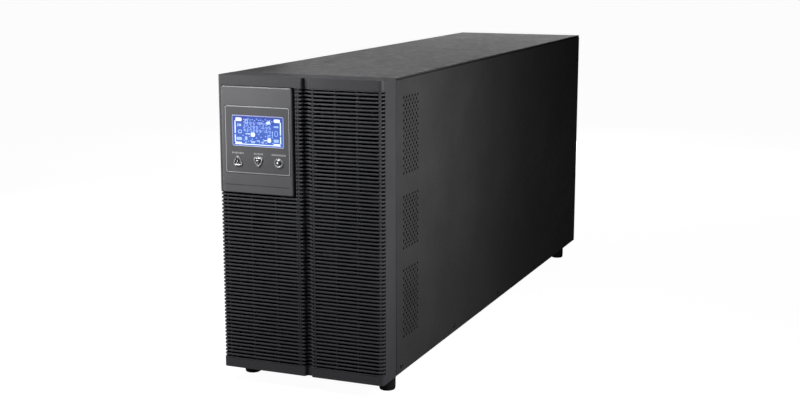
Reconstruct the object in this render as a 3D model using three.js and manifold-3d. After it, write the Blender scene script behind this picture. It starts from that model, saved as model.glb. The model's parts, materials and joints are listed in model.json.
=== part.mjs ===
// Tower uninterruptible power supply: steel case on rubber feet, moulded front bezel with louvred grilles
// and a display panel, fans and connections at the rear, batteries below and electronics above.
//
// Case coordinates, in millimetres: x to the right seen from the front, y from the bezel's front face
// towards the rear, z up from the underside of the case. The exported group moves them so that the origin
// is the centre of the whole unit's footprint, on the surface that the feet stand on.
import * as THREE from "three";
import { mergeVertices } from "three/addons/utils/BufferGeometryUtils.js";
import Module from "manifold-3d";

const manifold = await Module();
manifold.setup();

// ---- Driving dimensions ----
const BODY_W = 190;
const BODY_H = 320;
const BODY_L = 768;
const HALF_W = BODY_W / 2;
const FOOT_H = 17;
const FOOT_R = 9;
const GAP = 0.3; // clearance between neighbouring pieces
const SHEET = 1.5; // folded steel sheet
const WALL = 2.5; // moulded plastic wall

// Front bezel
const BEZEL_D = 35;
const CORNER_R = 5.5;
const BAND_TOP = 10.6;
const BAND_BOTTOM = 10;
const GROOVE_X = 8; // the groove stands a little right of the middle
const GROOVE_DEPTH = 4;
const GROOVE_FLOOR = 2.2; // half width of the groove's floor
const GROOVE_MOUTH = 4.6; // half width of the groove at the front face
const RETURN_D = 7.2; // depth of the window that takes the grilles
const SLOT_PITCH = 4.05;
const SLOT_H = 2.1;
const SLOT_COUNT = 74;
const RIB_X = 8.5; // upright ribs, this far to each side of the groove
const RIB_W = 1.4;
const SLOT_FAR = 89.4; // slots end here, before the rounded corners

// Display panel
const PANEL_LEFT = -89.6;
const PANEL_RIGHT = -6.8;
const PANEL_CHANNEL = 3.4; // open channel between the panel and the grille beside it
const PANEL_BOTTOM = 195.2;
const PANEL_TOP = 308.8;
const PANEL_PROUD = 1.5;
const PANEL_D = 14;
const LABEL_W = 76.1;
const LABEL_H = 71.4;
const LABEL_X = -47.2;
const LABEL_Z = 252.5;
const LABEL_T = 0.8;
const LCD_W = 61.4;
const LCD_H = 33.2;
const LCD_X = -46.6;
const LCD_Z = 262.1;
const BUTTON_Z = 230;
const BUTTON_X = [-70.6, -46.2, -22.2];
const BUTTON_R = 4.8;
const TRIANGLE_R = 7.4; // middle to corner of the arrow buttons, before rounding
const TRIANGLE_TALL = 1.12; // height of the arrow buttons, relative to an even triangle
const BUTTON_PROUD = 3; // ahead of the bezel's face
const BUTTON_TRAVEL = 1;

// Steel case
const CASE_Y = BEZEL_D + GAP;
const SIDE_TOP = BODY_H - SHEET - GAP;
const FLANGE_X = HALF_W - SHEET - GAP; // outer face of the inner flanges
const FLANGE_H = 16;
const FLANGE_Y = 39;
const REAR_Y = 764.5; // inner face of the rear panel
const REAR_FACE = REAR_Y + SHEET;
const SCREW_Z = 8.5;
const SCREW_Y = [50, 216, 382, 548, 714];
const VENT_GROUPS = [
  [218, 297], // bottom and top of each group of side vents
  [137, 192],
  [40, 112],
];
const VENT_Y = 59;
const VENT_PITCH = 7.5;
const VENT_COLUMNS = 6;
const VENT_SLOT = 2.8;

// Rear
const REAR_PROUD = 38; // terminal cover, behind the case
const FAN_SIZE = 80;
const FAN_D = 25;
const FAN_X = 43;
const FAN_Z = 262;
const FAN_BORE = 37.5;
const FAN_SHAFT_R = 1.5;
const BREAKER_X = -62;
const BREAKER_Z = 162;
const LEVER_Y = 766;
const LEVER_PIN_R = 1.5;
const LEVER_TILT = THREE.MathUtils.degToRad(20);
const COVER_W = 144;
const COVER_BOTTOM = 44;
const COVER_TOP = 124;
const COVER_WALL = 2;
const GLAND_X = 36;
const GLAND_Y = 788;
const GLAND_BORE = 6.8;
const OPTION_X = 50;
const OPTION_Z = 200;
const PORT_Z = 206;
const USB_X = -74;
const SERIAL_X = -42;
const EPO_X = -8;
const PLUG_X = 44;
const PLUG_Z = 152;

// Inside
const BATTERY_W = 151;
const BATTERY_L = 65;
const BATTERY_H = 94;
const BATTERIES_IN_PACK = 5;
const SHELF_Z = 205;
const BOARD_Z = 212;
const BOARD_T = 1.6;

// ---- Materials ----
function material(color, roughness, metalness = 0) {
  return new THREE.MeshStandardMaterial({ color, roughness, metalness });
}

const bezelPlastic = material(0x3b3b3f, 0.55);
const panelPlastic = material(0x5c5c60, 0.5);
const paintedSteel = material(0x38383a, 0.6, 0.3);
const barePlate = material(0xa9adb0, 0.45, 0.9);
const blackPlastic = material(0x1c1c1e, 0.5);
const rubber = material(0x161616, 0.85);
const screwSteel = material(0x4a4a4c, 0.4, 0.9);
const silver = material(0xb8babd, 0.35, 0.8);
const lcdGlass = material(0x3c64e6, 0.1);
const circuitBoard = material(0x1f5a34, 0.6);
const heatSinkMetal = material(0x9da1a5, 0.5, 0.9);
const copper = material(0x9a5a2c, 0.45, 0.8);
const terminalPlastic = material(0x2a2a2c, 0.55);
const greenPlastic = material(0x2f8f4a, 0.5);
const batteryPlastic = material(0x2b2d31, 0.65);

// ---- Geometry helpers ----
function toSolid(geometry) {
  const plain = geometry.clone();
  plain.deleteAttribute("normal");
  plain.deleteAttribute("uv");
  const merged = mergeVertices(plain, 1e-4);
  return new manifold.Manifold(
    new manifold.Mesh({
      numProp: 3,
      vertProperties: new Float32Array(merged.attributes.position.array),
      triVerts: new Uint32Array(merged.index.array),
    }),
  );
}

function toGeometry(solid) {
  const mesh = solid.getMesh();
  const geometry = new THREE.BufferGeometry();
  geometry.setAttribute("position", new THREE.BufferAttribute(mesh.vertProperties, 3));
  geometry.setIndex(new THREE.BufferAttribute(mesh.triVerts, 1));
  geometry.computeVertexNormals();
  return geometry;
}

function join(...geometries) {
  return toGeometry(geometries.map(toSolid).reduce((all, next) => all.add(next)));
}

function cut(base, ...tools) {
  const removed = tools.map(toSolid).reduce((all, next) => all.add(next));
  return toGeometry(toSolid(base).subtract(removed));
}

function box(x0, x1, y0, y1, z0, z1) {
  const geometry = new THREE.BoxGeometry(x1 - x0, y1 - y0, z1 - z0);
  return geometry.translate((x0 + x1) / 2, (y0 + y1) / 2, (z0 + z1) / 2);
}

// A closed outline in the x-z plane, given thickness from y0 to y1.
function upright(shape, y0, y1, curveSegments = 6) {
  const options = { depth: y1 - y0, bevelEnabled: false, curveSegments };
  return new THREE.ExtrudeGeometry(shape, options).rotateX(Math.PI / 2).translate(0, y1, 0);
}

// A closed outline in the x-y plane, given height from z0 to z1.
function flat(shape, z0, z1, curveSegments = 6) {
  const options = { depth: z1 - z0, bevelEnabled: false, curveSegments };
  return new THREE.ExtrudeGeometry(shape, options).translate(0, 0, z0);
}

function outline(points) {
  return new THREE.Shape(points.map(([x, y]) => new THREE.Vector2(x, y)));
}

function roundedRect(x, z, width, height, radius) {
  const shape = new THREE.Shape();
  const left = x - width / 2;
  const right = x + width / 2;
  const bottom = z - height / 2;
  const top = z + height / 2;
  shape.moveTo(left + radius, bottom);
  shape.lineTo(right - radius, bottom);
  shape.quadraticCurveTo(right, bottom, right, bottom + radius);
  shape.lineTo(right, top - radius);
  shape.quadraticCurveTo(right, top, right - radius, top);
  shape.lineTo(left + radius, top);
  shape.quadraticCurveTo(left, top, left, top - radius);
  shape.lineTo(left, bottom + radius);
  shape.quadraticCurveTo(left, bottom, left + radius, bottom);
  return shape;
}

// A solid of revolution about the y axis; profile points are [radius, y].
function turned(profile, segments) {
  const points = profile.map(([radius, y]) => new THREE.Vector2(radius, y));
  return new THREE.LatheGeometry(points, segments);
}

// A round bar along y.
function barAlongY(radius, y0, y1, segments = 12) {
  return turned([[0, y0], [radius, y0], [radius, y1], [0, y1]], segments);
}

function part(name, geometry, finish, x = 0, y = 0, z = 0) {
  const mesh = new THREE.Mesh(geometry, finish);
  mesh.name = name;
  mesh.position.set(x, y, z);
  return mesh;
}

// ---- Front bezel and grilles ----
// Horizontal section through the bezel's skin: side walls to `depth`, rounded corners, grooved front.
function bezelSection(depth) {
  const section = new THREE.Shape();
  const inner = CORNER_R - WALL;
  const mouth = GROOVE_MOUTH + 1.2;
  const floor = GROOVE_FLOOR + 0.8;
  section.moveTo(-HALF_W, depth);
  section.lineTo(-HALF_W, CORNER_R);
  section.quadraticCurveTo(-HALF_W, 0, -HALF_W + CORNER_R, 0);
  section.lineTo(GROOVE_X - GROOVE_MOUTH, 0);
  section.lineTo(GROOVE_X - GROOVE_FLOOR, GROOVE_DEPTH);
  section.lineTo(GROOVE_X + GROOVE_FLOOR, GROOVE_DEPTH);
  section.lineTo(GROOVE_X + GROOVE_MOUTH, 0);
  section.lineTo(HALF_W - CORNER_R, 0);
  section.quadraticCurveTo(HALF_W, 0, HALF_W, CORNER_R);
  section.lineTo(HALF_W, depth);
  section.lineTo(HALF_W - WALL, depth);
  section.lineTo(HALF_W - WALL, CORNER_R);
  section.quadraticCurveTo(HALF_W - WALL, WALL, HALF_W - WALL - inner, WALL);
  section.lineTo(GROOVE_X + mouth, WALL);
  section.lineTo(GROOVE_X + floor, GROOVE_DEPTH + WALL);
  section.lineTo(GROOVE_X - floor, GROOVE_DEPTH + WALL);
  section.lineTo(GROOVE_X - mouth, WALL);
  section.lineTo(-HALF_W + WALL + inner, WALL);
  section.quadraticCurveTo(-HALF_W + WALL, WALL, -HALF_W + WALL, CORNER_R);
  section.lineTo(-HALF_W + WALL, depth);
  return section;
}

// The same outline filled in, for the bezel's top and bottom walls.
function bezelPlate() {
  const plate = new THREE.Shape();
  plate.moveTo(-HALF_W, BEZEL_D);
  plate.lineTo(-HALF_W, CORNER_R);
  plate.quadraticCurveTo(-HALF_W, 0, -HALF_W + CORNER_R, 0);
  plate.lineTo(GROOVE_X - GROOVE_MOUTH, 0);
  plate.lineTo(GROOVE_X - GROOVE_FLOOR, GROOVE_DEPTH);
  plate.lineTo(GROOVE_X + GROOVE_FLOOR, GROOVE_DEPTH);
  plate.lineTo(GROOVE_X + GROOVE_MOUTH, 0);
  plate.lineTo(HALF_W - CORNER_R, 0);
  plate.quadraticCurveTo(HALF_W, 0, HALF_W, CORNER_R);
  plate.lineTo(HALF_W, BEZEL_D);
  return plate;
}

function frontBezel() {
  const skin = join(
    flat(bezelSection(BEZEL_D), 0, BODY_H),
    flat(bezelPlate(), 0, WALL),
    flat(bezelPlate(), BODY_H - WALL, BODY_H),
  );
  const windowTop = BODY_H - BAND_TOP;
  const lowerTop = PANEL_BOTTOM - GAP;
  const lower = box(-HALF_W - 1, HALF_W + 1, -1, RETURN_D, BAND_BOTTOM, lowerTop);
  const upper = box(PANEL_LEFT - GAP, HALF_W + 1, -1, RETURN_D, lowerTop - 1, windowTop);
  return cut(skin, lower, upper);
}

// One slot per louvre, between the two given x positions.
function louvreSlots(x0, x1, zLimit) {
  const slots = [];
  for (let row = 0; row < SLOT_COUNT; row += 1) {
    const z = BAND_BOTTOM + 1 + row * SLOT_PITCH;
    if (z + SLOT_H < zLimit) {
      slots.push(box(x0, x1, -1, WALL + 1, z, z + SLOT_H));
    }
  }
  return slots;
}

function grilleBlank(x0, x1) {
  const bottom = BAND_BOTTOM + GAP;
  const top = BODY_H - BAND_TOP - GAP;
  const skin = flat(bezelSection(RETURN_D - GAP), bottom, top);
  const side = box(x0, x1, -1, BEZEL_D, bottom - 1, top + 1);
  return toGeometry(toSolid(skin).intersect(toSolid(side)));
}

function rightGrille() {
  const top = BODY_H - BAND_TOP - 1;
  const near = GROOVE_X + RIB_X + RIB_W / 2;
  return cut(grilleBlank(GROOVE_X + GAP / 2, HALF_W + 1), ...louvreSlots(near, SLOT_FAR, top));
}

function leftGrille() {
  const near = GROOVE_X - RIB_X - RIB_W / 2;
  const display = box(
    -HALF_W - 1, PANEL_RIGHT + PANEL_CHANNEL, -1, BEZEL_D, PANEL_BOTTOM - 2 * GAP, BODY_H);
  const slots = louvreSlots(-SLOT_FAR, near, PANEL_BOTTOM - 2);
  return cut(grilleBlank(-HALF_W - 1, GROOVE_X - GAP / 2), display, ...slots);
}

// ---- Display panel ----
const LABEL_BACK = -PANEL_PROUD + LABEL_T - GAP;
const POCKET_FLOOR = LABEL_BACK + GAP;
const PANEL_BACK = -PANEL_PROUD + WALL; // rear of the panel's front wall

// Rounded triangle with bulging sides, pointing up for side 1 and down for side -1.
function triangleOutline(side, grow) {
  const reach = TRIANGLE_R + 2 * grow;
  const rounding = 0.33;
  const bulge = side > 0 ? 0.5 : 1.1;
  const corners = [90, 210, 330].map((degrees) => {
    const angle = THREE.MathUtils.degToRad(degrees);
    const up = reach * Math.sin(angle) * TRIANGLE_TALL - 1;
    return new THREE.Vector2(reach * Math.cos(angle), side * up);
  });
  const shape = new THREE.Shape();
  const start = corners[0].clone().lerp(corners[2], rounding);
  shape.moveTo(start.x, start.y);
  corners.forEach((corner, index) => {
    const next = corners[(index + 1) % 3];
    const leave = corner.clone().lerp(next, rounding);
    const enter = next.clone().lerp(corner, rounding);
    const middle = corner.clone().lerp(next, 0.5);
    middle.setLength(middle.length() + bulge);
    shape.quadraticCurveTo(corner.x, corner.y, leave.x, leave.y);
    shape.quadraticCurveTo(middle.x, middle.y, enter.x, enter.y);
  });
  return shape;
}

function discOutline(grow) {
  const shape = new THREE.Shape();
  shape.absarc(0, 0, BUTTON_R + grow, 0, 2 * Math.PI, false);
  return shape;
}

function buttonOutline(index, grow) {
  return [triangleOutline(1, grow), triangleOutline(-1, grow), discOutline(grow)][index];
}

function buttonHoles(y0, y1) {
  return BUTTON_X.map((x, index) =>
    upright(buttonOutline(index, GAP), y0, y1, 4).translate(x, 0, BUTTON_Z));
}

function displayHousing() {
  const width = PANEL_RIGHT - PANEL_LEFT;
  const height = PANEL_TOP - PANEL_BOTTOM;
  const x = (PANEL_LEFT + PANEL_RIGHT) / 2;
  const z = (PANEL_BOTTOM + PANEL_TOP) / 2;
  const outer = upright(roundedRect(x, z, width, height, 2), -PANEL_PROUD, PANEL_D, 2);
  const inside = upright(roundedRect(x, z, width - 4, height - 4, 1), PANEL_BACK, PANEL_D + 1, 1);
  const pocketShape = roundedRect(LABEL_X, LABEL_Z, LABEL_W + 2 * GAP, LABEL_H + 2 * GAP, 2.5);
  const pocket = upright(pocketShape, -PANEL_PROUD - 1, POCKET_FLOOR, 2);
  const lcd = upright(roundedRect(LCD_X, LCD_Z, LCD_W, LCD_H, 1), -3, 5, 1);
  return cut(outer, inside, pocket, lcd, ...buttonHoles(-3, 5));
}

function controlLabel() {
  const plate = upright(
    roundedRect(LABEL_X, LABEL_Z, LABEL_W, LABEL_H, 2.5), LABEL_BACK - LABEL_T, LABEL_BACK, 3);
  const lcd = upright(roundedRect(LCD_X, LCD_Z, LCD_W, LCD_H, 1), -5, 5, 1);
  return cut(plate, lcd, ...buttonHoles(-5, 5));
}

function lcdWindow() {
  const clear = 2 * GAP;
  const lens = roundedRect(LCD_X, LCD_Z, LCD_W - clear, LCD_H - clear, 1);
  const flange = roundedRect(LCD_X, LCD_Z, LCD_W + 3, LCD_H + 3, 1);
  return join(
    upright(lens, LABEL_BACK - LABEL_T + 0.1, PANEL_BACK + GAP + 0.2, 1),
    upright(flange, PANEL_BACK + GAP, PANEL_BACK + GAP + 1, 1),
  );
}

// Cap, retaining flange behind the panel's wall, and a stem towards the switch on the board.
function button(index) {
  const cap = upright(buttonOutline(index, 0), -BUTTON_PROUD, PANEL_BACK + GAP + 0.2, 4);
  const flange = upright(buttonOutline(index, 1.2), PANEL_BACK + GAP, PANEL_BACK + GAP + 1, 4);
  const stem = barAlongY(2, PANEL_BACK + GAP + 0.5, 7.4, 8);
  return join(cap, flange, stem);
}

// ---- Steel case ----
function uChannel(webHalf, webFront, webBottom, webTop, flangeBottom, flangeTop) {
  const inner = FLANGE_X - SHEET;
  return join(
    box(-webHalf, webHalf, webFront, BODY_L, webBottom, webTop),
    box(-FLANGE_X, -inner, FLANGE_Y, REAR_Y - GAP, flangeBottom, flangeTop),
    box(inner, FLANGE_X, FLANGE_Y, REAR_Y - GAP, flangeBottom, flangeTop),
  );
}

const FOOT_X = 82;
const FOOT_Y = [42, 716];
const SCREW_HOLE_R = 1.9;
const STUD_R = 3;

function baseChassis() {
  const tray = uChannel(FLANGE_X, CASE_Y + SHEET + GAP, 0, SHEET, 0, FLANGE_H);
  const holes = SCREW_Y.map((y) =>
    barAlongY(SCREW_HOLE_R, -HALF_W, HALF_W, 8).rotateZ(Math.PI / 2).translate(0, y, SCREW_Z));
  for (const x of [-FOOT_X, FOOT_X]) {
    for (const y of FOOT_Y) {
      holes.push(barAlongY(STUD_R + GAP, -2, 4, 12).rotateX(Math.PI / 2).translate(x, y, 0));
    }
  }
  return cut(tray, ...holes);
}

function topCover() {
  const seam = 0.4;
  return uChannel(
    HALF_W - seam, CASE_Y, BODY_H - SHEET, BODY_H, BODY_H - FLANGE_H, BODY_H - SHEET / 2);
}

// Flat side with a folded front edge, groups of air slots and a row of screw holes.
function sidePanel(side) {
  const outer = side * HALF_W;
  const inner = side * (HALF_W - SHEET);
  const fold = side * (HALF_W - 10);
  const section = outline([
    [outer, CASE_Y],
    [outer, BODY_L],
    [inner, BODY_L],
    [inner, CASE_Y + SHEET],
    [fold, CASE_Y + SHEET],
    [fold, CASE_Y],
  ]);
  const x0 = Math.min(outer, inner) - 1;
  const x1 = Math.max(outer, inner) + 1;
  const openings = [];
  for (const [bottom, top] of VENT_GROUPS) {
    for (let column = 0; column < VENT_COLUMNS; column += 1) {
      const y = VENT_Y + column * VENT_PITCH;
      openings.push(box(x0, x1, y - VENT_SLOT / 2, y + VENT_SLOT / 2, bottom, top));
    }
  }
  for (const y of SCREW_Y) {
    openings.push(barAlongY(SCREW_HOLE_R, x0, x1, 8).rotateZ(-Math.PI / 2).translate(0, y, SCREW_Z));
  }
  return cut(flat(section, 0, SIDE_TOP), ...openings);
}

// Plate behind the bezel, slotted for the cooling air.
function frontBulkhead() {
  const y0 = CASE_Y + SHEET + GAP;
  const plate = box(-HALF_W + 4, HALF_W - 4, y0, y0 + SHEET, 2, BODY_H - 4);
  const rows = 9;
  const slots = [];
  for (let row = 0; row < rows; row += 1) {
    const z = 24 + row * 31;
    slots.push(box(-78, -8, y0 - 1, y0 + 3, z, z + 18));
    slots.push(box(8, 78, y0 - 1, y0 + 3, z, z + 18));
  }
  return cut(plate, ...slots);
}

function foot() {
  const round = 2;
  return turned([
    [0, -FOOT_H],
    [FOOT_R - round, -FOOT_H],
    [FOOT_R - round * 0.3, -FOOT_H + round * 0.3],
    [FOOT_R, -FOOT_H + round],
    [FOOT_R, -GAP],
    [STUD_R, -GAP],
    [STUD_R, SHEET + 3],
    [0, SHEET + 3],
  ], 16).rotateX(Math.PI / 2);
}

// Low domed head and shank, pointing along -y before it is turned to its side.
function caseScrew() {
  const under = 0.1;
  return turned([
    [0, -5],
    [1.6, -5],
    [1.6, under],
    [3.2, under],
    [3, under + 0.6],
    [2, under + 1],
    [0, under + 1],
  ], 10);
}

// ---- Rear panel and what it carries ----
const PANEL_CUTOUTS = [
  [BREAKER_X - 17.5, BREAKER_X + 17.5, BREAKER_Z - 22.5, BREAKER_Z + 22.5],
  [USB_X - 6.5, USB_X + 6.5, PORT_Z - 6.3, PORT_Z + 6.3],
  [SERIAL_X - 13, SERIAL_X + 13, PORT_Z - 6.5, PORT_Z + 6.5],
  [EPO_X - 6.5, EPO_X + 6.5, PORT_Z - 5.5, PORT_Z + 5.5],
  [OPTION_X - 32, OPTION_X + 32, OPTION_Z - 14, OPTION_Z + 14],
  [PLUG_X - 22.3, PLUG_X + 22.3, PLUG_Z - 12.3, PLUG_Z + 12.3],
  [-48, 48, 72, 92],
];

function rearPanel() {
  const plate = box(-FLANGE_X, FLANGE_X, REAR_Y, REAR_FACE, SHEET + GAP, BODY_H - SHEET - GAP - 2);
  const openings = PANEL_CUTOUTS.map(([x0, x1, z0, z1]) => box(x0, x1, REAR_Y - 1, REAR_FACE + 1, z0, z1));
  for (const x of [-FAN_X, FAN_X]) {
    openings.push(barAlongY(FAN_BORE, REAR_Y - 1, REAR_FACE + 1, 24).translate(x, 0, FAN_Z));
  }
  return cut(plate, ...openings);
}

// Square frame with a round duct, and a hub held by three struts on the inner side.
function fanFrame() {
  const half = FAN_SIZE / 2 - 0.5;
  const ringOutline = roundedRect(0, 0, 2 * half, 2 * half, 4);
  const duct = new THREE.Path();
  duct.absarc(0, 0, FAN_BORE, 0, 2 * Math.PI, true);
  ringOutline.holes.push(duct);
  const body = upright(ringOutline, 0, FAN_D, 12);
  const struts = [0, 120, 240].map((degrees) =>
    box(12, FAN_BORE + 1, 0, 3, -2, 2).rotateY(THREE.MathUtils.degToRad(degrees)));
  const held = join(body, barAlongY(15, 0, 3, 16), ...struts);
  return cut(held, barAlongY(FAN_SHAFT_R + 0.1, -1, 4, 12));
}

function fanRotor() {
  const bladeCount = 7;
  const pitch = THREE.MathUtils.degToRad(38);
  const blades = [];
  for (let blade = 0; blade < bladeCount; blade += 1) {
    const plate = box(13, FAN_BORE - 1.5, -0.8, 0.8, -10, 10);
    plate.rotateX(pitch);
    plate.translate(0, 12.5, 0);
    blades.push(plate.rotateY((2 * Math.PI * blade) / bladeCount));
  }
  const shaft = barAlongY(FAN_SHAFT_R, 0.5, 5, 12);
  return join(barAlongY(15, 4, 22, 20), shaft, ...blades);
}

// Concentric rings round a small disc, on four arms that reach the fan's corner screws.
function fanGuard() {
  const wire = 2;
  const rings = [14.5, 22, 29.5, 37].map((radius) => {
    const ring = new THREE.Shape();
    ring.absarc(0, 0, radius + wire / 2, 0, 2 * Math.PI, false);
    const hole = new THREE.Path();
    hole.absarc(0, 0, radius - wire / 2, 0, 2 * Math.PI, true);
    ring.holes.push(hole);
    return upright(ring, 0, wire, 10);
  });
  const arms = [45, 135, 225, 315].map((degrees) =>
    box(5, 50, 0.2, wire - 0.2, -1, 1).rotateY(THREE.MathUtils.degToRad(degrees)));
  return join(...rings, ...arms, barAlongY(8, 0.1, wire - 0.1, 16));
}

function inputBreaker() {
  const body = box(-17, 17, REAR_Y - 42, REAR_FACE + 2, -22, 22);
  const slot = box(-11, 11, REAR_FACE - 6, REAR_FACE + 3, -10, 10);
  const pinHole = barAlongY(LEVER_PIN_R + 0.15, -14, 14, 10).rotateZ(Math.PI / 2).translate(0, LEVER_Y, 0);
  return cut(body, slot, pinHole);
}

// Pivot barrel with a handle, tilted up in the ON position.
function breakerLever() {
  const barrel = barAlongY(3.5, -10, 10, 12).rotateZ(Math.PI / 2);
  const pin = barAlongY(LEVER_PIN_R, -13, 13, 10).rotateZ(Math.PI / 2);
  const handle = box(-9, 9, 0, 13, -1.8, 1.8);
  return join(barrel, pin, handle).rotateX(LEVER_TILT);
}

// Row of screw terminals between barriers.
function terminalBlock() {
  const poles = 5;
  const pitch = 20;
  const half = (poles * pitch) / 2 + 3;
  const base = box(-half, half, 0, 12, -14, 14);
  const barriers = [];
  for (let wall = 0; wall <= poles; wall += 1) {
    const x = -half + 3 + wall * pitch;
    barriers.push(box(x - 1.5, x + 1.5, 11, 22, -14, 14));
  }
  const screws = [];
  for (let pole = 0; pole < poles; pole += 1) {
    const x = -half + 3 + (pole + 0.5) * pitch;
    screws.push(barAlongY(3.5, 11, 15, 8).translate(x, 0, -6));
    screws.push(barAlongY(3.5, 11, 15, 8).translate(x, 0, 6));
  }
  return join(base, ...barriers, ...screws);
}

// Box open towards the rear panel, with two round cable entries in its lower wall.
function terminalCover() {
  const half = COVER_W / 2;
  const y0 = REAR_FACE + GAP;
  const y1 = BODY_L + REAR_PROUD;
  const outer = box(-half, half, y0, y1, COVER_BOTTOM, COVER_TOP);
  const inside = box(-half + COVER_WALL, half - COVER_WALL, y0 - 1, y1 - COVER_WALL,
    COVER_BOTTOM + COVER_WALL, COVER_TOP - COVER_WALL);
  const entries = [-GLAND_X, GLAND_X].map((x) =>
    barAlongY(9.3, -5, 5, 16).rotateX(Math.PI / 2).translate(x, GLAND_Y, COVER_BOTTOM));
  return cut(outer, inside, ...entries);
}

// Threaded sleeve through the cover's wall, with a nut inside and a dome nut outside.
function cableGland() {
  const profile = [
    [GLAND_BORE, -24],
    [8.5, -24],
    [11.5, -19],
    [11.5, -8],
    [12.5, -8],
    [12.5, -GAP],
    [9, -GAP],
    [9, COVER_WALL + GAP],
    [11.5, COVER_WALL + GAP],
    [11.5, COVER_WALL + 4],
    [GLAND_BORE, COVER_WALL + 4],
    [GLAND_BORE, -24],
  ];
  return turned(profile, 16).rotateX(Math.PI / 2);
}

function usbPort() {
  const body = box(-6, 6, -14, 0.8, -5.8, 5.8);
  const socket = box(-4.2, 4.2, -8, 2, -3.9, 3.9);
  const tongue = box(-2.8, 2.8, -9, 0, -1.6, 1.6);
  return join(cut(body, socket), tongue);
}

function serialPort() {
  const shellOutline = (grow) => outline([
    [-8.5 - grow, 4 + grow],
    [-7 - grow, -4 - grow],
    [7 + grow, -4 - grow],
    [8.5 + grow, 4 + grow],
  ]);
  const flange = box(-12.7, 12.7, -10, 0.4, -6.2, 6.2);
  const shell = upright(shellOutline(0.6), 0, 6);
  const recess = upright(shellOutline(0), -1, 7);
  const pins = [];
  for (let pin = 0; pin < 5; pin += 1) {
    pins.push(barAlongY(0.5, -2, 5, 6).translate(-5.5 + 2.76 * pin, 0, 1.4));
  }
  for (let pin = 0; pin < 4; pin += 1) {
    pins.push(barAlongY(0.5, -2, 5, 6).translate(-4.1 + 2.76 * pin, 0, -1.4));
  }
  return join(cut(join(flange, shell), recess), ...pins);
}

function epoConnector() {
  const body = box(-6, 6, -12, 6, -5, 5);
  const tools = [-2.6, 2.6].map((x) => box(x - 1.6, x + 1.6, 0, 7, -3.5, 0));
  return cut(body, ...tools);
}

function optionSlotCover() {
  const plate = upright(roundedRect(0, 0, 76, 36, 1), 0, SHEET, 1);
  const knobs = [-34.5, 34.5].map((x) => barAlongY(2.8, SHEET - 0.5, SHEET + 5, 10).translate(x, 0, 0));
  return join(plate, ...knobs);
}

function batteryConnector() {
  const body = box(-22, 22, -22, 9, -12, 12);
  const sockets = [-13, 0, 13].map((x) => box(x - 4.5, x + 4.5, -8, 10, -8, 8));
  return cut(body, ...sockets);
}

// ---- Inside ----
// Row of sealed batteries standing side by side, each with two raised terminals.
function batteryPack() {
  const pieces = [];
  for (let cell = 0; cell < BATTERIES_IN_PACK; cell += 1) {
    const y = cell * BATTERY_L;
    pieces.push(box(-BATTERY_W / 2, BATTERY_W / 2, y + 0.5, y + BATTERY_L - 0.5, 0, BATTERY_H));
    pieces.push(box(-65, -55, y + 8, y + 18, BATTERY_H - 1, BATTERY_H + 6));
    pieces.push(box(55, 65, y + 8, y + 18, BATTERY_H - 1, BATTERY_H + 6));
  }
  const half = BATTERY_W / 2 - 1;
  const wrap = box(-half, half, 1, BATTERIES_IN_PACK * BATTERY_L - 1, 1, BATTERY_H - 2);
  return join(wrap, ...pieces);
}

// Shelf with turned-down ends that carries the electronics over the batteries.
function batteryShelf() {
  const half = 91;
  return join(
    box(-half, half, 45, 735, 0, SHEET),
    box(-half, -half + SHEET, 45, 735, -10, SHEET / 2),
    box(half - SHEET, half, 45, 735, -10, SHEET / 2),
  );
}

function heatSink() {
  const length = 260;
  const fins = 8;
  const pieces = [box(-18, 18, 0, length, 0, 6)];
  for (let fin = 0; fin < fins; fin += 1) {
    const x = -17 + (fin * 34) / (fins - 1);
    pieces.push(box(x - 0.9, x + 0.9, 0, length, 5, 52));
  }
  return join(...pieces);
}

function inductor() {
  const ring = [];
  const steps = 8;
  for (let step = 0; step <= steps; step += 1) {
    const angle = (2 * Math.PI * step) / steps;
    ring.push([21 + 9 * Math.cos(angle), 10 * Math.sin(angle)]);
  }
  return turned(ring, 18).rotateX(Math.PI / 2);
}

function capacitor() {
  return barAlongY(17.5, 0, 50, 16).rotateX(Math.PI / 2);
}

// ---- Assembly ----
const unit = new THREE.Group();
unit.name = "uninterruptible_power_supply";
const assembly = new THREE.Group();
assembly.position.set(0, -(BODY_L + REAR_PROUD - BUTTON_PROUD) / 2, FOOT_H);
unit.add(assembly);

assembly.add(
  part("front_bezel", frontBezel(), bezelPlastic),
  part("left_grille", leftGrille(), bezelPlastic),
  part("right_grille", rightGrille(), bezelPlastic),
  part("display_housing", displayHousing(), panelPlastic),
  part("control_label", controlLabel(), panelPlastic),
  part("lcd_window", lcdWindow(), lcdGlass),
  part("lcd_module", box(-33, 33, 0, 5, -19, 19), blackPlastic, LCD_X, PANEL_BACK + 1 + 2 * GAP, LCD_Z),
  part("display_board", box(-37, 37, 0, BOARD_T, -39, 39), circuitBoard, LABEL_X, 9, 250),
);
["up_button", "down_button", "enter_button"].forEach((name, index) => {
  assembly.add(part(name, button(index), silver, BUTTON_X[index], 0, BUTTON_Z));
});

assembly.add(
  part("base_chassis", baseChassis(), paintedSteel),
  part("front_bulkhead", frontBulkhead(), barePlate),
  part("rear_panel", rearPanel(), paintedSteel),
  part("top_cover", topCover(), paintedSteel),
  part("left_side_panel", sidePanel(-1), paintedSteel),
  part("right_side_panel", sidePanel(1), paintedSteel),
);
["front", "rear"].forEach((end, index) => {
  assembly.add(part(`foot_${end}_left`, foot(), rubber, -FOOT_X, FOOT_Y[index]));
  assembly.add(part(`foot_${end}_right`, foot(), rubber, FOOT_X, FOOT_Y[index]));
});
SCREW_Y.forEach((y, index) => {
  const left = part(`left_screw_${index + 1}`, caseScrew(), screwSteel, -HALF_W, y, SCREW_Z);
  left.rotation.z = Math.PI / 2;
  const right = part(`right_screw_${index + 1}`, caseScrew(), screwSteel, HALF_W, y, SCREW_Z);
  right.rotation.z = -Math.PI / 2;
  assembly.add(left, right);
});

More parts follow.
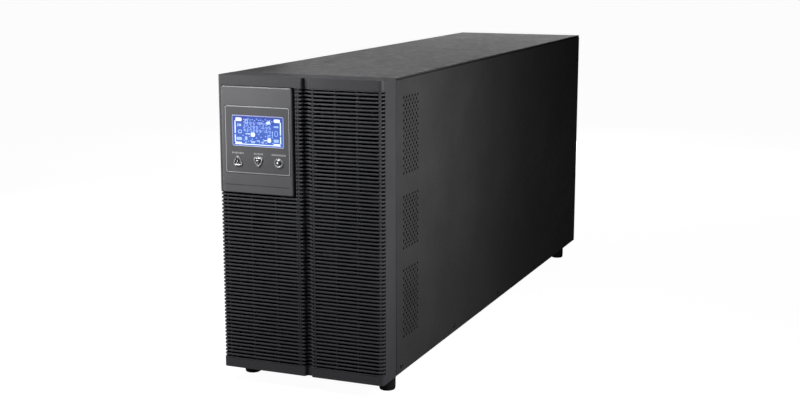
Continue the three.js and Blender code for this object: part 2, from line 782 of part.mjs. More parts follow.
const FAN_Y = REAR_Y - GAP - FAN_D;
for (const [side, x] of [["left", -FAN_X], ["right", FAN_X]]) {
  assembly.add(part(`fan_frame_${side}`, fanFrame(), blackPlastic, x, FAN_Y, FAN_Z));
  assembly.add(part(`fan_rotor_${side}`, fanRotor(), blackPlastic, x, FAN_Y, FAN_Z));
  assembly.add(part(`fan_guard_${side}`, fanGuard(), silver, x, REAR_FACE + GAP, FAN_Z));
}
assembly.add(
  part("input_breaker", inputBreaker(), blackPlastic, BREAKER_X, 0, BREAKER_Z),
  part("breaker_lever", breakerLever(), blackPlastic, BREAKER_X, LEVER_Y, BREAKER_Z),
  part("terminal_block", terminalBlock(), terminalPlastic, 0, REAR_FACE + GAP, 82),
  part("terminal_cover", terminalCover(), paintedSteel),
  part("cable_gland_input", cableGland(), blackPlastic, -GLAND_X, GLAND_Y, COVER_BOTTOM),
  part("cable_gland_output", cableGland(), blackPlastic, GLAND_X, GLAND_Y, COVER_BOTTOM),
  part("usb_port", usbPort(), silver, USB_X, REAR_FACE, PORT_Z),
  part("serial_port", serialPort(), silver, SERIAL_X, REAR_FACE, PORT_Z),
  part("epo_connector", epoConnector(), greenPlastic, EPO_X, REAR_FACE, PORT_Z),
  part("option_slot_cover", optionSlotCover(), paintedSteel, OPTION_X, REAR_FACE + GAP, OPTION_Z),
  part("battery_connector", batteryConnector(), terminalPlastic, PLUG_X, REAR_FACE, PLUG_Z),
);

const PACK_Y = [62, 392];
const PACK_Z = [SHEET + GAP, 104];
["lower", "upper"].forEach((level, row) => {
  ["front", "rear"].forEach((end, column) => {
    const name = `battery_pack_${level}_${end}`;
    assembly.add(part(name, batteryPack(), batteryPlastic, 0, PACK_Y[column], PACK_Z[row]));
  });
});
assembly.add(
  part("battery_shelf", batteryShelf(), barePlate, 0, 0, SHELF_Z),
  part("power_board", box(-84, 84, 90, 690, 0, BOARD_T), circuitBoard, 0, 0, BOARD_Z),
  part("heat_sink_left", heatSink(), heatSinkMetal, -58, 120, BOARD_Z + BOARD_T + GAP),
  part("heat_sink_right", heatSink(), heatSinkMetal, 58, 120, BOARD_Z + BOARD_T + GAP),
  part("boost_inductor", inductor(), copper, 44, 460, BOARD_Z + BOARD_T + GAP + 10),
  part("bus_capacitor_left", capacitor(), blackPlastic, -58, 540, BOARD_Z + BOARD_T + GAP),
  part("bus_capacitor_right", capacitor(), blackPlastic, 58, 540, BOARD_Z + BOARD_T + GAP),
  part("control_board", box(-0.8, 0.8, 460, 640, 0, 84), circuitBoard, 0, 0, BOARD_Z + BOARD_T + GAP),
);

export default unit;
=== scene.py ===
"""Tower uninterruptible power supply: detailed pieces, materials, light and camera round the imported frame.

Shapes are given in case millimetres: x to the right seen from the front, y from the bezel's front face
towards the rear, z up from the underside of the case. at() takes a point from there to the row frame.
"""
import json
import math

import bmesh
import bpy
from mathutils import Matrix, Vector
from mathutils.geometry import tessellate_polygon


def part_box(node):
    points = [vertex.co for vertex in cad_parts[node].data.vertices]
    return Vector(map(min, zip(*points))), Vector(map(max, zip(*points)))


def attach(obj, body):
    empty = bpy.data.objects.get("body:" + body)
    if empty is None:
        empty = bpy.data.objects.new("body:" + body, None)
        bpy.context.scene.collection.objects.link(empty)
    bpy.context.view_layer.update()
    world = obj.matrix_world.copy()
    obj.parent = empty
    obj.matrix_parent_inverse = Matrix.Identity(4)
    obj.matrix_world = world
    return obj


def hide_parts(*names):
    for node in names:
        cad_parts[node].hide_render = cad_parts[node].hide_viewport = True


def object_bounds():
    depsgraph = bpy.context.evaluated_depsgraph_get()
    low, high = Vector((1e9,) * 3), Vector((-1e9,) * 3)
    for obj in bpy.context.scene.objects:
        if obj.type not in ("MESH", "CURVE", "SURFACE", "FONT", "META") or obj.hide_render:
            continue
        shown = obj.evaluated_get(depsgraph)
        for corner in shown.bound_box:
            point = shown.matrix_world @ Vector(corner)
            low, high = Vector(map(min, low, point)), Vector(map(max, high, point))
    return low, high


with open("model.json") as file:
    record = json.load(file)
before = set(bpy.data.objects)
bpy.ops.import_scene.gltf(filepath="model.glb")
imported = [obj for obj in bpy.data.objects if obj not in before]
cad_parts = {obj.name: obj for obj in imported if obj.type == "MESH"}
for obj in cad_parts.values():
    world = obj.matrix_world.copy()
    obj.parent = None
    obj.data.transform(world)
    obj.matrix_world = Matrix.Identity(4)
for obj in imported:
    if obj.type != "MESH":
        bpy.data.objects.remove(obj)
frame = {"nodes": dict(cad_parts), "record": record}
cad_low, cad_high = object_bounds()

MM = 0.001
CASE = "case"

# ---- The case's main dimensions, in millimetres, as in the CAD ----
HALF_W = 95
BODY_L = 768
GAP = 0.3
SHEET = 1.5
CORNER_R = 5.5
GROOVE_X = 8
GROOVE_FLOOR = 2.2  # half its width at the floor
GROOVE_MOUTH = 4.6  # half its width at the front face
GROOVE_DEPTH = 4
GRILLE_BOTTOM = 10.3
GRILLE_TOP = 309.1
GRILLE_BACK = 6.9
PANEL_LEFT, PANEL_RIGHT = -89.6, -6.8
PANEL_BOTTOM, PANEL_TOP = 195.2, 308.8
STRIP_LEFT = -3.4  # left edge of the narrow grille strip beside the display panel
LABEL_X, LABEL_Z, LABEL_W, LABEL_H = -47.2, 252.5, 76.1, 71.4
LCD_X, LCD_Z, LCD_W, LCD_H = -46.6, 262.1, 61.4, 33.2
BUTTONS = ("up_button", "down_button", "enter_button")
BUTTON_X = (-70.6, -46.2, -22.2)
BUTTON_Z = 230
BUTTON_R = 4.8
TRIANGLE_R = 7.4
TRIANGLE_TALL = 1.12
SIDE_FRONT = 35.3
SIDE_TOP = 318.2
REAR_FACE = 766
FAN_X, FAN_Z, FAN_D = 43, 262, 25
FAN_Y = 739.2
FAN_BORE = 37.5
FOOT_PLACES = {"front": 42, "rear": 716}
FOOT_X = 82
SCREW_Y = (50, 216, 382, 548, 714)
SCREW_Z = 8.5
GLAND_X, GLAND_Y, GLAND_Z = 36, 788, 44

bezel_low, bezel_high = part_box("front_bezel")
ORIGIN = Vector(((bezel_low.x + bezel_high.x) / 2, bezel_low.y, bezel_low.z))


def at(x, y, z):
    """A point in case millimetres as a place in the row frame, in metres."""
    return ORIGIN + Vector((x, y, z)) * MM


# ---- Camera, in metres and degrees, from the fit to the photograph's outline ----
CAMERA_PLACE = (0.614, -1.6207, 0.468)
CAMERA_DOWN = 11.2
CAMERA_TURN = 22.3
CAMERA_LENS = 59.6


def add_camera():
    data = bpy.data.cameras.new("camera")
    data.sensor_width = 36
    data.lens = CAMERA_LENS
    data.clip_start = 0.05
    camera = bpy.data.objects.new("camera", data)
    camera.location = CAMERA_PLACE
    camera.rotation_euler = (math.radians(90 - CAMERA_DOWN), 0, math.radians(CAMERA_TURN))
    bpy.context.scene.collection.objects.link(camera)
    bpy.context.scene.camera = camera


add_camera()


# ---- Materials ----
WIDE_SCALE, MIDDLE_SCALE = 14.0, 120.0  # noise per metre: soft patches, and uneven gloss
RELIEF = 0.1  # height of the surface relief, as a part of the grain size


def shade(colour, factor):
    return tuple(min(1.0, c * factor) for c in colour[:3]) + (1.0,)


def finish(name, colour, roughness, *, metallic=0.0, specular=0.5, coat=0.0, coat_roughness=0.1,
           grain_size=1.0, grain=0.05, bump=0.1, patches=0.06, roughness_spread=0.08,
           stretch=(1, 1, 1), emission=None, emission_strength=0.0):
    """A Principled material with fine grain, wide soft patches and uneven gloss; grain_size is in
    millimetres, and grain and patches are how far the colour strays, as parts of itself."""
    material = bpy.data.materials.new(name)
    material.use_nodes = True
    nodes = material.node_tree.nodes
    links = material.node_tree.links
    shader = nodes["Principled BSDF"]
    shader.inputs["Metallic"].default_value = metallic
    shader.inputs["Specular IOR Level"].default_value = specular
    shader.inputs["Coat Weight"].default_value = coat
    shader.inputs["Coat Roughness"].default_value = coat_roughness
    place = nodes.new("ShaderNodeTexCoord")
    mapping = nodes.new("ShaderNodeMapping")
    mapping.inputs["Scale"].default_value = stretch
    links.new(place.outputs["Object"], mapping.inputs["Vector"])

    def noise(scale, detail):
        node = nodes.new("ShaderNodeTexNoise")
        node.inputs["Scale"].default_value = scale
        node.inputs["Detail"].default_value = detail
        links.new(mapping.outputs["Vector"], node.inputs["Vector"])
        return node.outputs["Fac"]

    fine = noise(1000 / grain_size, 3.0)
    wide = noise(WIDE_SCALE, 2.0)
    middle = noise(MIDDLE_SCALE, 4.0)

    def mixed(factor, low, high):
        node = nodes.new("ShaderNodeMix")
        node.data_type = "RGBA"
        links.new(factor, node.inputs["Factor"])
        for socket, value in (("A", low), ("B", high)):
            target = [i for i in node.inputs if i.name == socket and i.type == "RGBA"][0]
            if isinstance(value, tuple):
                target.default_value = value
            else:
                links.new(value, target)
        return [o for o in node.outputs if o.type == "RGBA"][0]

    def stretched(factor, low, high, from_low=0.3, from_high=0.7):
        node = nodes.new("ShaderNodeMapRange")
        links.new(factor, node.inputs["Value"])
        node.inputs["From Min"].default_value = from_low
        node.inputs["From Max"].default_value = from_high
        node.inputs["To Min"].default_value = low
        node.inputs["To Max"].default_value = high
        return node.outputs["Result"]

    dark = mixed(stretched(wide, 0, 1), shade(colour, 1 - patches), shade(colour, 1 + patches))
    pale = mixed(stretched(wide, 0, 1), shade(colour, 1 + grain - patches),
                 shade(colour, 1 + 2 * grain + patches))
    links.new(mixed(stretched(fine, 0, 1), dark, pale), shader.inputs["Base Color"])
    smoothest = max(0.02, roughness - roughness_spread)
    roughest = min(1, roughness + roughness_spread)
    links.new(stretched(middle, smoothest, roughest), shader.inputs["Roughness"])
    if bump:
        relief = nodes.new("ShaderNodeBump")
        relief.inputs["Strength"].default_value = bump
        relief.inputs["Distance"].default_value = RELIEF * MM * grain_size
        links.new(fine, relief.inputs["Height"])
        links.new(relief.outputs["Normal"], shader.inputs["Normal"])
    if emission:
        shader.inputs["Emission Color"].default_value = shade(emission, 1)
        shader.inputs["Emission Strength"].default_value = emission_strength
    return material


# One finish for each of the record's material slots.
FINISHES = {
    "bezel_plastic": finish("bezel_plastic", (0.057, 0.057, 0.062), 0.52, specular=0.26, grain_size=0.7,
                            grain=0.10, bump=0.35),
    "panel_plastic": finish("panel_plastic", (0.106, 0.106, 0.112), 0.42, grain_size=0.8, grain=0.05,
                            bump=0.15, specular=0.45),
    "label_film": finish("label_film", (0.086, 0.086, 0.090), 0.40, grain_size=0.5, grain=0.06, bump=0.08),
    "lcd_glass": finish("lcd_glass", (0.012, 0.03, 0.16), 0.12, coat=0.6, coat_roughness=0.05,
                        grain_size=2.0, grain=0.05, bump=0.0, emission=(0.045, 0.125, 0.80),
                        emission_strength=0.95),
    "lcd_screen": finish("lcd_screen", (0.55, 0.6, 0.8), 0.3, grain_size=0.6, grain=0.05, bump=0.0,
                         emission=(0.66, 0.80, 1.0), emission_strength=0.72),
    "button_metal": finish("button_metal", (0.66, 0.66, 0.68), 0.34, metallic=0.55, grain_size=0.6,
                           grain=0.08, bump=0.06),
    "painted_steel": finish("painted_steel", (0.040, 0.040, 0.0405), 0.55, specular=0.28, grain_size=1.3,
                            grain=0.22, bump=0.55, roughness_spread=0.06),
    # Near black: painted shade on the inner bare steel parts that show through the grilles.
    "bare_steel": finish("bare_steel", (0.016, 0.016, 0.017), 0.62, specular=0.15, grain_size=3.0, grain=0.2,
                         bump=0.1, patches=0.2),
    "foot_rubber": finish("foot_rubber", (0.008, 0.008, 0.0085), 0.72, specular=0.3, grain_size=0.9,
                          grain=0.25, bump=0.5),
    "screw_steel": finish("screw_steel", (0.06, 0.06, 0.062), 0.36, metallic=0.7, grain_size=0.6,
                          grain=0.2, bump=0.1),
    "fan_plastic": finish("fan_plastic", (0.014, 0.014, 0.015), 0.48, grain_size=0.8, grain=0.12, bump=0.2),
    "guard_wire": finish("guard_wire", (0.58, 0.59, 0.6), 0.27, metallic=1.0, grain_size=1.5, grain=0.12,
                         bump=0.08, patches=0.12),
    "breaker_plastic": finish("breaker_plastic", (0.018, 0.018, 0.019), 0.42, grain_size=0.9, grain=0.1,
                              bump=0.2),
    "lever_plastic": finish("lever_plastic", (0.03, 0.03, 0.032), 0.34, grain_size=0.8, grain=0.1, bump=0.1),
    "terminal_plastic": finish("terminal_plastic", (0.024, 0.024, 0.026), 0.5, grain_size=0.9, grain=0.12,
                               bump=0.25),
    "gland_nylon": finish("gland_nylon", (0.02, 0.02, 0.021), 0.44, grain_size=0.9, grain=0.12, bump=0.2),
    "port_metal": finish("port_metal", (0.42, 0.42, 0.43), 0.34, metallic=1.0, grain_size=0.4, grain=0.08,
                         bump=0.0),
    "green_plastic": finish("green_plastic", (0.03, 0.26, 0.07), 0.4, grain_size=0.8, grain=0.08, bump=0.1),
    "battery_case": finish("battery_case", (0.03, 0.032, 0.036), 0.55, grain_size=1.0, grain=0.1, bump=0.2),
    "circuit_board": finish("circuit_board", (0.012, 0.10, 0.035), 0.4, grain_size=3.0, grain=0.25,
                            bump=0.1, patches=0.15),
    "heat_sink_aluminium": finish("heat_sink_aluminium", (0.55, 0.56, 0.57), 0.4, metallic=1.0,
                                  grain_size=2.0, grain=0.1, bump=0.15, stretch=(1, 0.05, 1)),
    "copper_winding": finish("copper_winding", (0.45, 0.17, 0.05), 0.35, metallic=0.9, grain_size=1.6,
                             grain=0.3, bump=0.5, stretch=(1, 1, 0.2)),
    "capacitor_sleeve": finish("capacitor_sleeve", (0.012, 0.012, 0.02), 0.3, grain_size=1.0, grain=0.1,
                               bump=0.05),
}
# Finishes that differ from their slot's own.
BUTTON_FACE = finish("button_face", (0.40, 0.40, 0.41), 0.26, metallic=1.0, grain_size=0.6,
                     grain=0.1, bump=0.02, roughness_spread=0.03)
PRINT = finish("label_print", (0.44, 0.44, 0.46), 0.5, grain_size=0.4, grain=0.05, bump=0.0)
OUTLINE = finish("label_outline", (0.34, 0.34, 0.35), 0.45, metallic=0.0, grain_size=0.6, grain=0.08,
                 bump=0.05)
# Near-black steel for the base chassis: painted shade on the plate that shows through the grille slots.
PAINTED_SHADE_STEEL = finish("painted_shade_steel", (0.006, 0.006, 0.006), 0.65, specular=0.15, grain_size=1.3,
                     grain=0.2, bump=0.3)
# The top cover's paint: the sides' paint with a coarse gritty grain, whose pale speckles lighten the top as a
# painted sheen.
SHEEN_PAINTED_TOP_STEEL = finish("sheen_painted_top_steel", (0.042, 0.042, 0.043), 0.41, specular=0.5, grain_size=1.6, grain=0.8,
                   bump=1.0, roughness_spread=0.06)


# ---- Shape building ----
class Form:
    """Points in case millimetres, and the faces that join them."""

    def __init__(self):
        self.points = []
        self.faces = []

    def add(self, points, faces):
        start = len(self.points)
        self.points.extend(points)
        self.faces.extend(tuple(start + i for i in face) for face in faces)

    def loft(self, rings, closed=False, caps=True):
        """Closed rings of equal length joined in order; closed joins the last to the first."""
        count = len(rings[0])
        points = [p for ring in rings for p in ring]
        faces = []
        last = len(rings) if closed else len(rings) - 1
        for i in range(last):
            a = i * count
            b = ((i + 1) % len(rings)) * count
            for j in range(count):
                k = (j + 1) % count
                faces.append((a + j, a + k, b + k, b + j))
        if caps and not closed:
            faces.append(tuple(range(count - 1, -1, -1)))
            faces.append(tuple(range((len(rings) - 1) * count, len(rings) * count)))
        self.add(points, faces)

    def box(self, x0, x1, y0, y1, z0, z1, edge=0.0):
        """A block, with its two front upright edges cut back by edge when that is given."""
        e = edge
        outline = [(x0 + e, y0), (x1 - e, y0), (x1, y0 + e), (x1, y1), (x0, y1), (x0, y0 + e)]
        if not e:
            outline = [(x0, y0), (x1, y0), (x1, y1), (x0, y1)]
        self.loft([[(x, y, z) for x, y in outline] for z in (z0, z1)])

    def lathe(self, profile, segments, place):
        """Turns profile points (radius, height) round an axis; place maps (u, v, height)."""
        rings = []
        for radius, height in profile:
            ring = []
            for step in range(segments):
                angle = 2 * math.pi * step / segments
                ring.append(place(radius * math.cos(angle), radius * math.sin(angle), height))
            rings.append(ring)
        self.loft(rings, closed=profile[0][0] > 0 and profile[-1][0] > 0, caps=False)

    def tube(self, path, radius, sides=10, closed=False, lie=(0, 1, 0)):
        """A round wire along points in a plane whose normal is lie."""
        normal = Vector(lie)
        rings = []
        count = len(path)
        for i, point in enumerate(path):
            before = Vector(path[(i - 1) % count] if closed or i else point)
            after = Vector(path[(i + 1) % count] if closed or i < count - 1 else point)
            across = (after - before).normalized().cross(normal)
            ring = []
            for step in range(sides):
                angle = 2 * math.pi * step / sides
                out = math.cos(angle) * across + math.sin(angle) * normal
                ring.append(tuple(Vector(point) + radius * out))
            rings.append(ring)
        self.loft(rings, closed=closed)

    def plate(self, outer, holes, levels, place, hole_scale=1.0, hole_insets=None):
        """A plate with holes: levels are (inset, depth) from its face to its back, so that its edges
        can be rounded. outer runs anticlockwise and each hole clockwise; place maps (u, v, depth).
        The holes widen by hole_scale of each inset, or by hole_insets, one for each level."""
        loops = [outer] + holes
        hole_insets = hole_insets or [inset * hole_scale for inset, _ in levels]
        insets = [[inset] + [wider] * len(holes) for (inset, _), wider in zip(levels, hole_insets)]
        start = len(self.points)
        size = sum(len(loop) for loop in loops)
        for level, (_, depth) in enumerate(levels):
            for loop, inset in zip(loops, insets[level]):
                self.points.extend(place(u, v, depth) for u, v in offset(loop, inset))
        for level in range(len(levels) - 1):
            a = start + level * size
            b = a + size
            first = 0
            for loop in loops:
                count = len(loop)
                for j in range(count):
                    k = (j + 1) % count
                    self.faces.append((a + first + j, b + first + j, b + first + k, a + first + k))
                first += count
        for level, turn in ((0, 1), (len(levels) - 1, -1)):
            flat = [[Vector((u, v, 0)) for u, v in offset(loop, inset)]
                    for loop, inset in zip(loops, insets[level])]
            shift = start + level * size
            for triangle in tessellate_polygon(flat):
                self.faces.append(tuple(shift + i for i in triangle[::turn]))


def offset(loop, distance, closed=True):
    """Moves an outline to its left by distance, with mitred corners."""
    if not distance:
        return list(loop)
    count = len(loop)
    moved = []
    for i in range(count):
        here = Vector(loop[i])
        normals = []
        if closed or i:
            step = (here - Vector(loop[i - 1])).normalized()
            normals.append(Vector((-step.y, step.x)))
        if closed or i < count - 1:
            step = (Vector(loop[(i + 1) % count]) - here).normalized()
            normals.append(Vector((-step.y, step.x)))
        total = sum(normals, Vector((0, 0)))
        if len(normals) == 2:
            total = total / (1 + normals[0].dot(normals[1]))
        moved.append(tuple(here + total * distance))
    return moved


def circle(u, v, radius, segments=32):
    steps = (2 * math.pi * i / segments for i in range(segments))
    return [(u + radius * math.cos(a), v + radius * math.sin(a)) for a in steps]


def rounded_rect(u, v, width, height, radius, segments=5):
    points = []
    for corner, (su, sv) in enumerate(((1, 1), (-1, 1), (-1, -1), (1, -1))):
        cu = u + su * (width / 2 - radius)
        cv = v + sv * (height / 2 - radius)
        for step in range(segments + 1):
            angle = math.pi / 2 * (corner + step / segments)
            points.append((cu + radius * math.cos(angle), cv + radius * math.sin(angle)))
    return points


def rectangle(u0, u1, v0, v1):
    return [(u0, v0), (u1, v0), (u1, v1), (u0, v1)]


def facing_front(u, v, depth):
    return (u, depth, v)


def facing_rear(u, v, depth):
    return (-u, -depth, v)


WELD = 2e-6  # metres
NODE_WELD = 5e-6


def make(name, form, material, slot, body=CASE, stands_for=(), sharp=35):
    """Turns a form into a piece with smooth faces and sharp edges over the given angle."""
    mesh = bpy.data.meshes.new(name)
    mesh.from_pydata([at(*point) for point in form.points], [], form.faces)
    settle(mesh, sharp)
    return add_piece(name, mesh, material, slot, body, stands_for)


def settle(mesh, sharp):
    """Welds a mesh, turns its faces outwards and marks which edges are sharp."""
    shape = bmesh.new()
    shape.from_mesh(mesh)
    bmesh.ops.remove_doubles(shape, verts=shape.verts, dist=WELD)
    loose = [e for e in shape.edges if not e.link_faces]
    bmesh.ops.delete(shape, geom=loose, context="EDGES")
    bmesh.ops.recalc_face_normals(shape, faces=shape.faces)
    for face in shape.faces:
        face.smooth = True
    for edge in shape.edges:
        edge.smooth = len(edge.link_faces) == 2 and edge.calc_face_angle(0) < math.radians(sharp)
    shape.to_mesh(mesh)
    shape.free()


def add_piece(name, mesh, material, slot, body, stands_for):
    mesh.materials.clear()
    mesh.materials.append(material)
    piece = bpy.data.objects.new(name, mesh)
    bpy.context.scene.collection.objects.link(piece)
    flats = piece.modifiers.new("flats", "WEIGHTED_NORMAL")
    flats.keep_sharp = True
    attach(piece, body)
    if stands_for:
        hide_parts(*stands_for)
    return piece


SLOT_OF = {row["node"]: row["material_slot"] for row in frame["record"]["subparts"]}


def refine(node, width, material=None, body=CASE):
    """A copy of a CAD node with its edges rounded by width, in millimetres, in the node's place."""
    source = frame["nodes"][node]
    mesh = source.data.copy()
    mesh.name = node + "_shape"
    shape = bmesh.new()
    shape.from_mesh(mesh)
    shape.transform(source.matrix_world)
    bmesh.ops.remove_doubles(shape, verts=shape.verts, dist=NODE_WELD)
    bmesh.ops.dissolve_limit(shape, angle_limit=math.radians(0.5), verts=shape.verts, edges=shape.edges)
    edges = [e for e in shape.edges
             if len(e.link_faces) == 2 and e.calc_face_angle(0) > math.radians(28)]
    bmesh.ops.bevel(shape, geom=edges, offset=width * MM, segments=2, profile=0.5,
                    affect="EDGES", clamp_overlap=True)
    shape.to_mesh(mesh)
    shape.free()
    settle(mesh, 35)
    slot = SLOT_OF[node]
    return add_piece(node + "_shape", mesh, material or FINISHES[slot], slot, body, (node,))


# ---- Grilles ----
SLOT_PITCH = 4.05
FIRST_SLAT = 14.075
SLAT_COUNT = 73
SLAT_HALF = 0.87
SLAT_DEPTH = 1.95
NARROW_FROM = 193.0  # slats above this height run only beside the display panel
BOTTOM_RAIL = 0.7
TOP_RAIL = 0.8
# Upright ribs: the width of those at the slats' ends, and the places of those behind the slats.
EDGE_RIB = 1.4
RIGHT_RIBS = (41.1, 65.7, 90.3)
LEFT_RIBS = (-86, -57.5, -29)


def corner_arc(side):
    """Plan of a rounded front corner, from the front face to the side."""
    points = []
    for step in range(7):
        angle = math.pi / 2 * step / 6
        x = HALF_W - CORNER_R + CORNER_R * math.sin(angle)
        points.append((side * x, CORNER_R - CORNER_R * math.cos(angle)))
    return points


def groove_plan(side):
    """Plan of half the groove, from its middle to the front face."""
    return [(GROOVE_X + side * GAP / 2, GROOVE_DEPTH), (GROOVE_X + side * GROOVE_FLOOR, GROOVE_DEPTH),
            (GROOVE_X + side * GROOVE_MOUTH, 0)]


def blade(form, plan, low, high, depth, nose=0.32):
    """A slat or rail along a plan outline, with its front edges rounded."""
    section = [(depth, low), (nose * 1.6, low), (nose * 0.45, low + nose * 0.3), (0, low + nose * 1.1),
               (0, high - nose * 1.1), (nose * 0.45, high - nose * 0.3), (nose * 1.6, high), (depth, high)]
    lines = {inset: offset(plan, inset, closed=False) for inset, _ in section}
    rings = []
    for i in range(len(plan)):
        rings.append([(*lines[inset][i], z) for inset, z in section])
    form.loft(rings)


def grille(name, plan, narrow_plan, ribs, node):
    """Louvres, end rails and upright ribs: each rib is (middle across, front face, width, top)."""
    form = Form()
    for row in range(SLAT_COUNT):
        middle = FIRST_SLAT + row * SLOT_PITCH
        chosen = plan if middle < NARROW_FROM else narrow_plan
        blade(form, chosen, middle - SLAT_HALF, middle + SLAT_HALF, SLAT_DEPTH)
    blade(form, plan, GRILLE_BOTTOM, GRILLE_BOTTOM + BOTTOM_RAIL, SLAT_DEPTH, nose=0.15)
    blade(form, narrow_plan, GRILLE_TOP - TOP_RAIL, GRILLE_TOP, SLAT_DEPTH, nose=0.15)
    for x, front, width, top in ribs:
        form.box(x - width / 2, x + width / 2, front, GRILLE_BACK, GRILLE_BOTTOM, top, edge=0.25)
    return make(name, form, FINISHES["bezel_plastic"], "bezel_plastic", stands_for=(node,))


def build_grilles():
    right_plan = groove_plan(1) + corner_arc(1) + [(HALF_W, GRILLE_BACK)]
    left_plan = [(-HALF_W, GRILLE_BACK)] + corner_arc(-1)[::-1] + groove_plan(-1)[::-1]
    narrow_plan = [(STRIP_LEFT, 0)] + groove_plan(-1)[::-1]
    below = PANEL_BOTTOM - 2.1
    right_ribs = [(16.5, 0.0, EDGE_RIB, GRILLE_TOP)]
    right_ribs += [(x, 1.7, 1.5, GRILLE_TOP) for x in RIGHT_RIBS]
    left_ribs = [(-0.5, 0.0, EDGE_RIB, GRILLE_TOP), (-2.9, 0.1, 0.9, GRILLE_TOP)]
    left_ribs += [(x, 1.7, 1.5, below) for x in LEFT_RIBS]
    grille("grille_right", right_plan, right_plan, right_ribs, "right_grille")
    grille("grille_left", left_plan, narrow_plan, left_ribs, "left_grille")


# ---- Display panel ----
LABEL_FRONT = -1.8
PANEL_FRONT = -1.5
PANEL_BACK = 11
LINE_Z = 203.9  # the fine groove across the panel, below the label
CAPTION_Z = 238.3
CAPTION_W = (14.0, 11.0, 17.0)
CAPTION_STEP = 1.55


def bezier(a, b, c, steps):
    points = []
    for i in range(steps + 1):
        t = i / steps
        points.append(tuple((1 - t) ** 2 * a[k] + 2 * t * (1 - t) * b[k] + t * t * c[k] for k in (0, 1)))
    return points


def triangle(x, z, side, grow):
    """A rounded triangle with bulging sides, pointing up for side 1 and down for side -1."""
    reach = TRIANGLE_R + 2 * grow
    bulge = 0.5 if side > 0 else 1.1
    corners = []
    for degrees in (90, 210, 330):
        angle = math.radians(degrees)
        up = reach * math.sin(angle) * TRIANGLE_TALL - 1
        corners.append(Vector((reach * math.cos(angle), side * up)))
    points = []
    for i, corner in enumerate(corners):
        before, after = corners[i - 1], corners[(i + 1) % 3]
        leave = corner.lerp(after, 0.33)
        enter = after.lerp(corner, 0.33)
        middle = corner.lerp(after, 0.5)
        middle *= 1 + bulge / middle.length
        points += bezier(corner.lerp(before, 0.33), corner, leave, 8)[:-1]
        points += bezier(leave, middle, enter, 5)[:-1]
    return [(x + u, z + v) for u, v in points][::side]


def button_outline(index, grow):
    x = BUTTON_X[index]
    if index == 2:
        return circle(x, BUTTON_Z, BUTTON_R + grow, 40)
    return triangle(x, BUTTON_Z, 1 - 2 * index, grow)


def build_panel():
    """The housing, the label with its edge, and rows of plain bars in place of captions."""
    width = PANEL_RIGHT - PANEL_LEFT
    middle_x = (PANEL_LEFT + PANEL_RIGHT) / 2
    middle_z = (PANEL_BOTTOM + PANEL_TOP) / 2
    outline = rounded_rect(middle_x, middle_z, width, PANEL_TOP - PANEL_BOTTOM, 2)
    pocket = rounded_rect(LABEL_X, LABEL_Z, LABEL_W + 0.6, LABEL_H + 0.6, 2.5)[::-1]
    line = rounded_rect(middle_x, LINE_Z, width - 7, 0.6, 0.25, 2)[::-1]
    levels = [(1.0, PANEL_FRONT), (0.55, PANEL_FRONT + 0.1), (0.18, PANEL_FRONT + 0.42),
              (0, PANEL_FRONT + 1.0), (0, PANEL_BACK)]
    form = Form()
    form.plate(outline, [pocket, line], levels, facing_front, hole_scale=0.12)
    form.box(PANEL_LEFT + 2.5, PANEL_RIGHT - 2.5, -0.95, 3, LINE_Z - 3, LINE_Z + 3)
    make("display_panel", form, FINISHES["panel_plastic"], "panel_plastic", stands_for=("display_housing",))

    form = Form()
    holes = [rounded_rect(LCD_X, LCD_Z, LCD_W, LCD_H, 1.6)[::-1]]
    holes += [button_outline(i, GAP)[::-1] for i in range(3)]
    levels = [(0.18, LABEL_FRONT), (0.05, LABEL_FRONT + 0.07), (0, LABEL_FRONT + 0.2), (0, -0.6)]
    label = rounded_rect(LABEL_X, LABEL_Z, LABEL_W, LABEL_H, 2.5)
    form.plate(label, holes, levels, facing_front, hole_scale=0.5)
    make("label_plate", form, FINISHES["label_film"], "label_film", stands_for=("control_label",))

    form = Form()
    rim = rounded_rect(LABEL_X, LABEL_Z, LABEL_W - 0.3, LABEL_H - 0.3, 2.4)
    inner = rounded_rect(LABEL_X, LABEL_Z, LABEL_W - 2.0, LABEL_H - 2.0, 1.7)[::-1]
    levels = [(0.12, LABEL_FRONT - 0.12), (0, LABEL_FRONT - 0.05), (0, LABEL_FRONT + 0.1)]
    form.plate(rim, [inner], levels, facing_front)
    make("label_edge", form, OUTLINE, "label_film")

    form = Form()
    for x, width in zip(BUTTON_X, CAPTION_W):
        cells = round(width / CAPTION_STEP)
        for cell in range(cells):
            u = x - width / 2 + (cell + 0.5) * width / cells
            tall = 1.7 if cell % 3 else 2.2
            bar = rounded_rect(u, CAPTION_Z, 0.85, tall, 0.2, 2)
            form.plate(bar, [], [(0.03, LABEL_FRONT - 0.05), (0, LABEL_FRONT + 0.05)], facing_front)
    make("button_captions", form, PRINT, "label_film")


# ---- Screen ----
SCREEN_FRONT = -1.7
INNER_W, INNER_H = LCD_W - 3.4, LCD_H - 3.0
MARK_LEVELS = [(0.02, SCREEN_FRONT - 0.04), (0, SCREEN_FRONT + 0.05)]
# Marks on the screen: centre across and down, width and height, as parts of the screen, and corner.
SCREEN_MARKS = [
    (0.113, 0.105, 0.125, 0.12, 0.3), (0.893, 0.105, 0.125, 0.12, 0.3),
    (0.040, 0.37, 0.020, 0.44, 0.1), (0.040, 0.77, 0.020, 0.26, 0.1),
    (0.963, 0.37, 0.020, 0.44, 0.1), (0.963, 0.77, 0.020, 0.26, 0.1),
    (0.500, 0.966, 0.93, 0.030, 0.1), (0.110, 0.925, 0.13, 0.055, 0.2), (0.888, 0.925, 0.13, 0.055, 0.2),
    (0.720, 0.190, 0.085, 0.085, 0.5), (0.735, 0.150, 0.040, 0.050, 0.5),
    (0.402, 0.620, 0.090, 0.150, 0.4), (0.735, 0.790, 0.075, 0.165, 0.4),
    (0.300, 0.600, 0.100, 0.028, 0.1), (0.660, 0.800, 0.055, 0.030, 0.1),
]
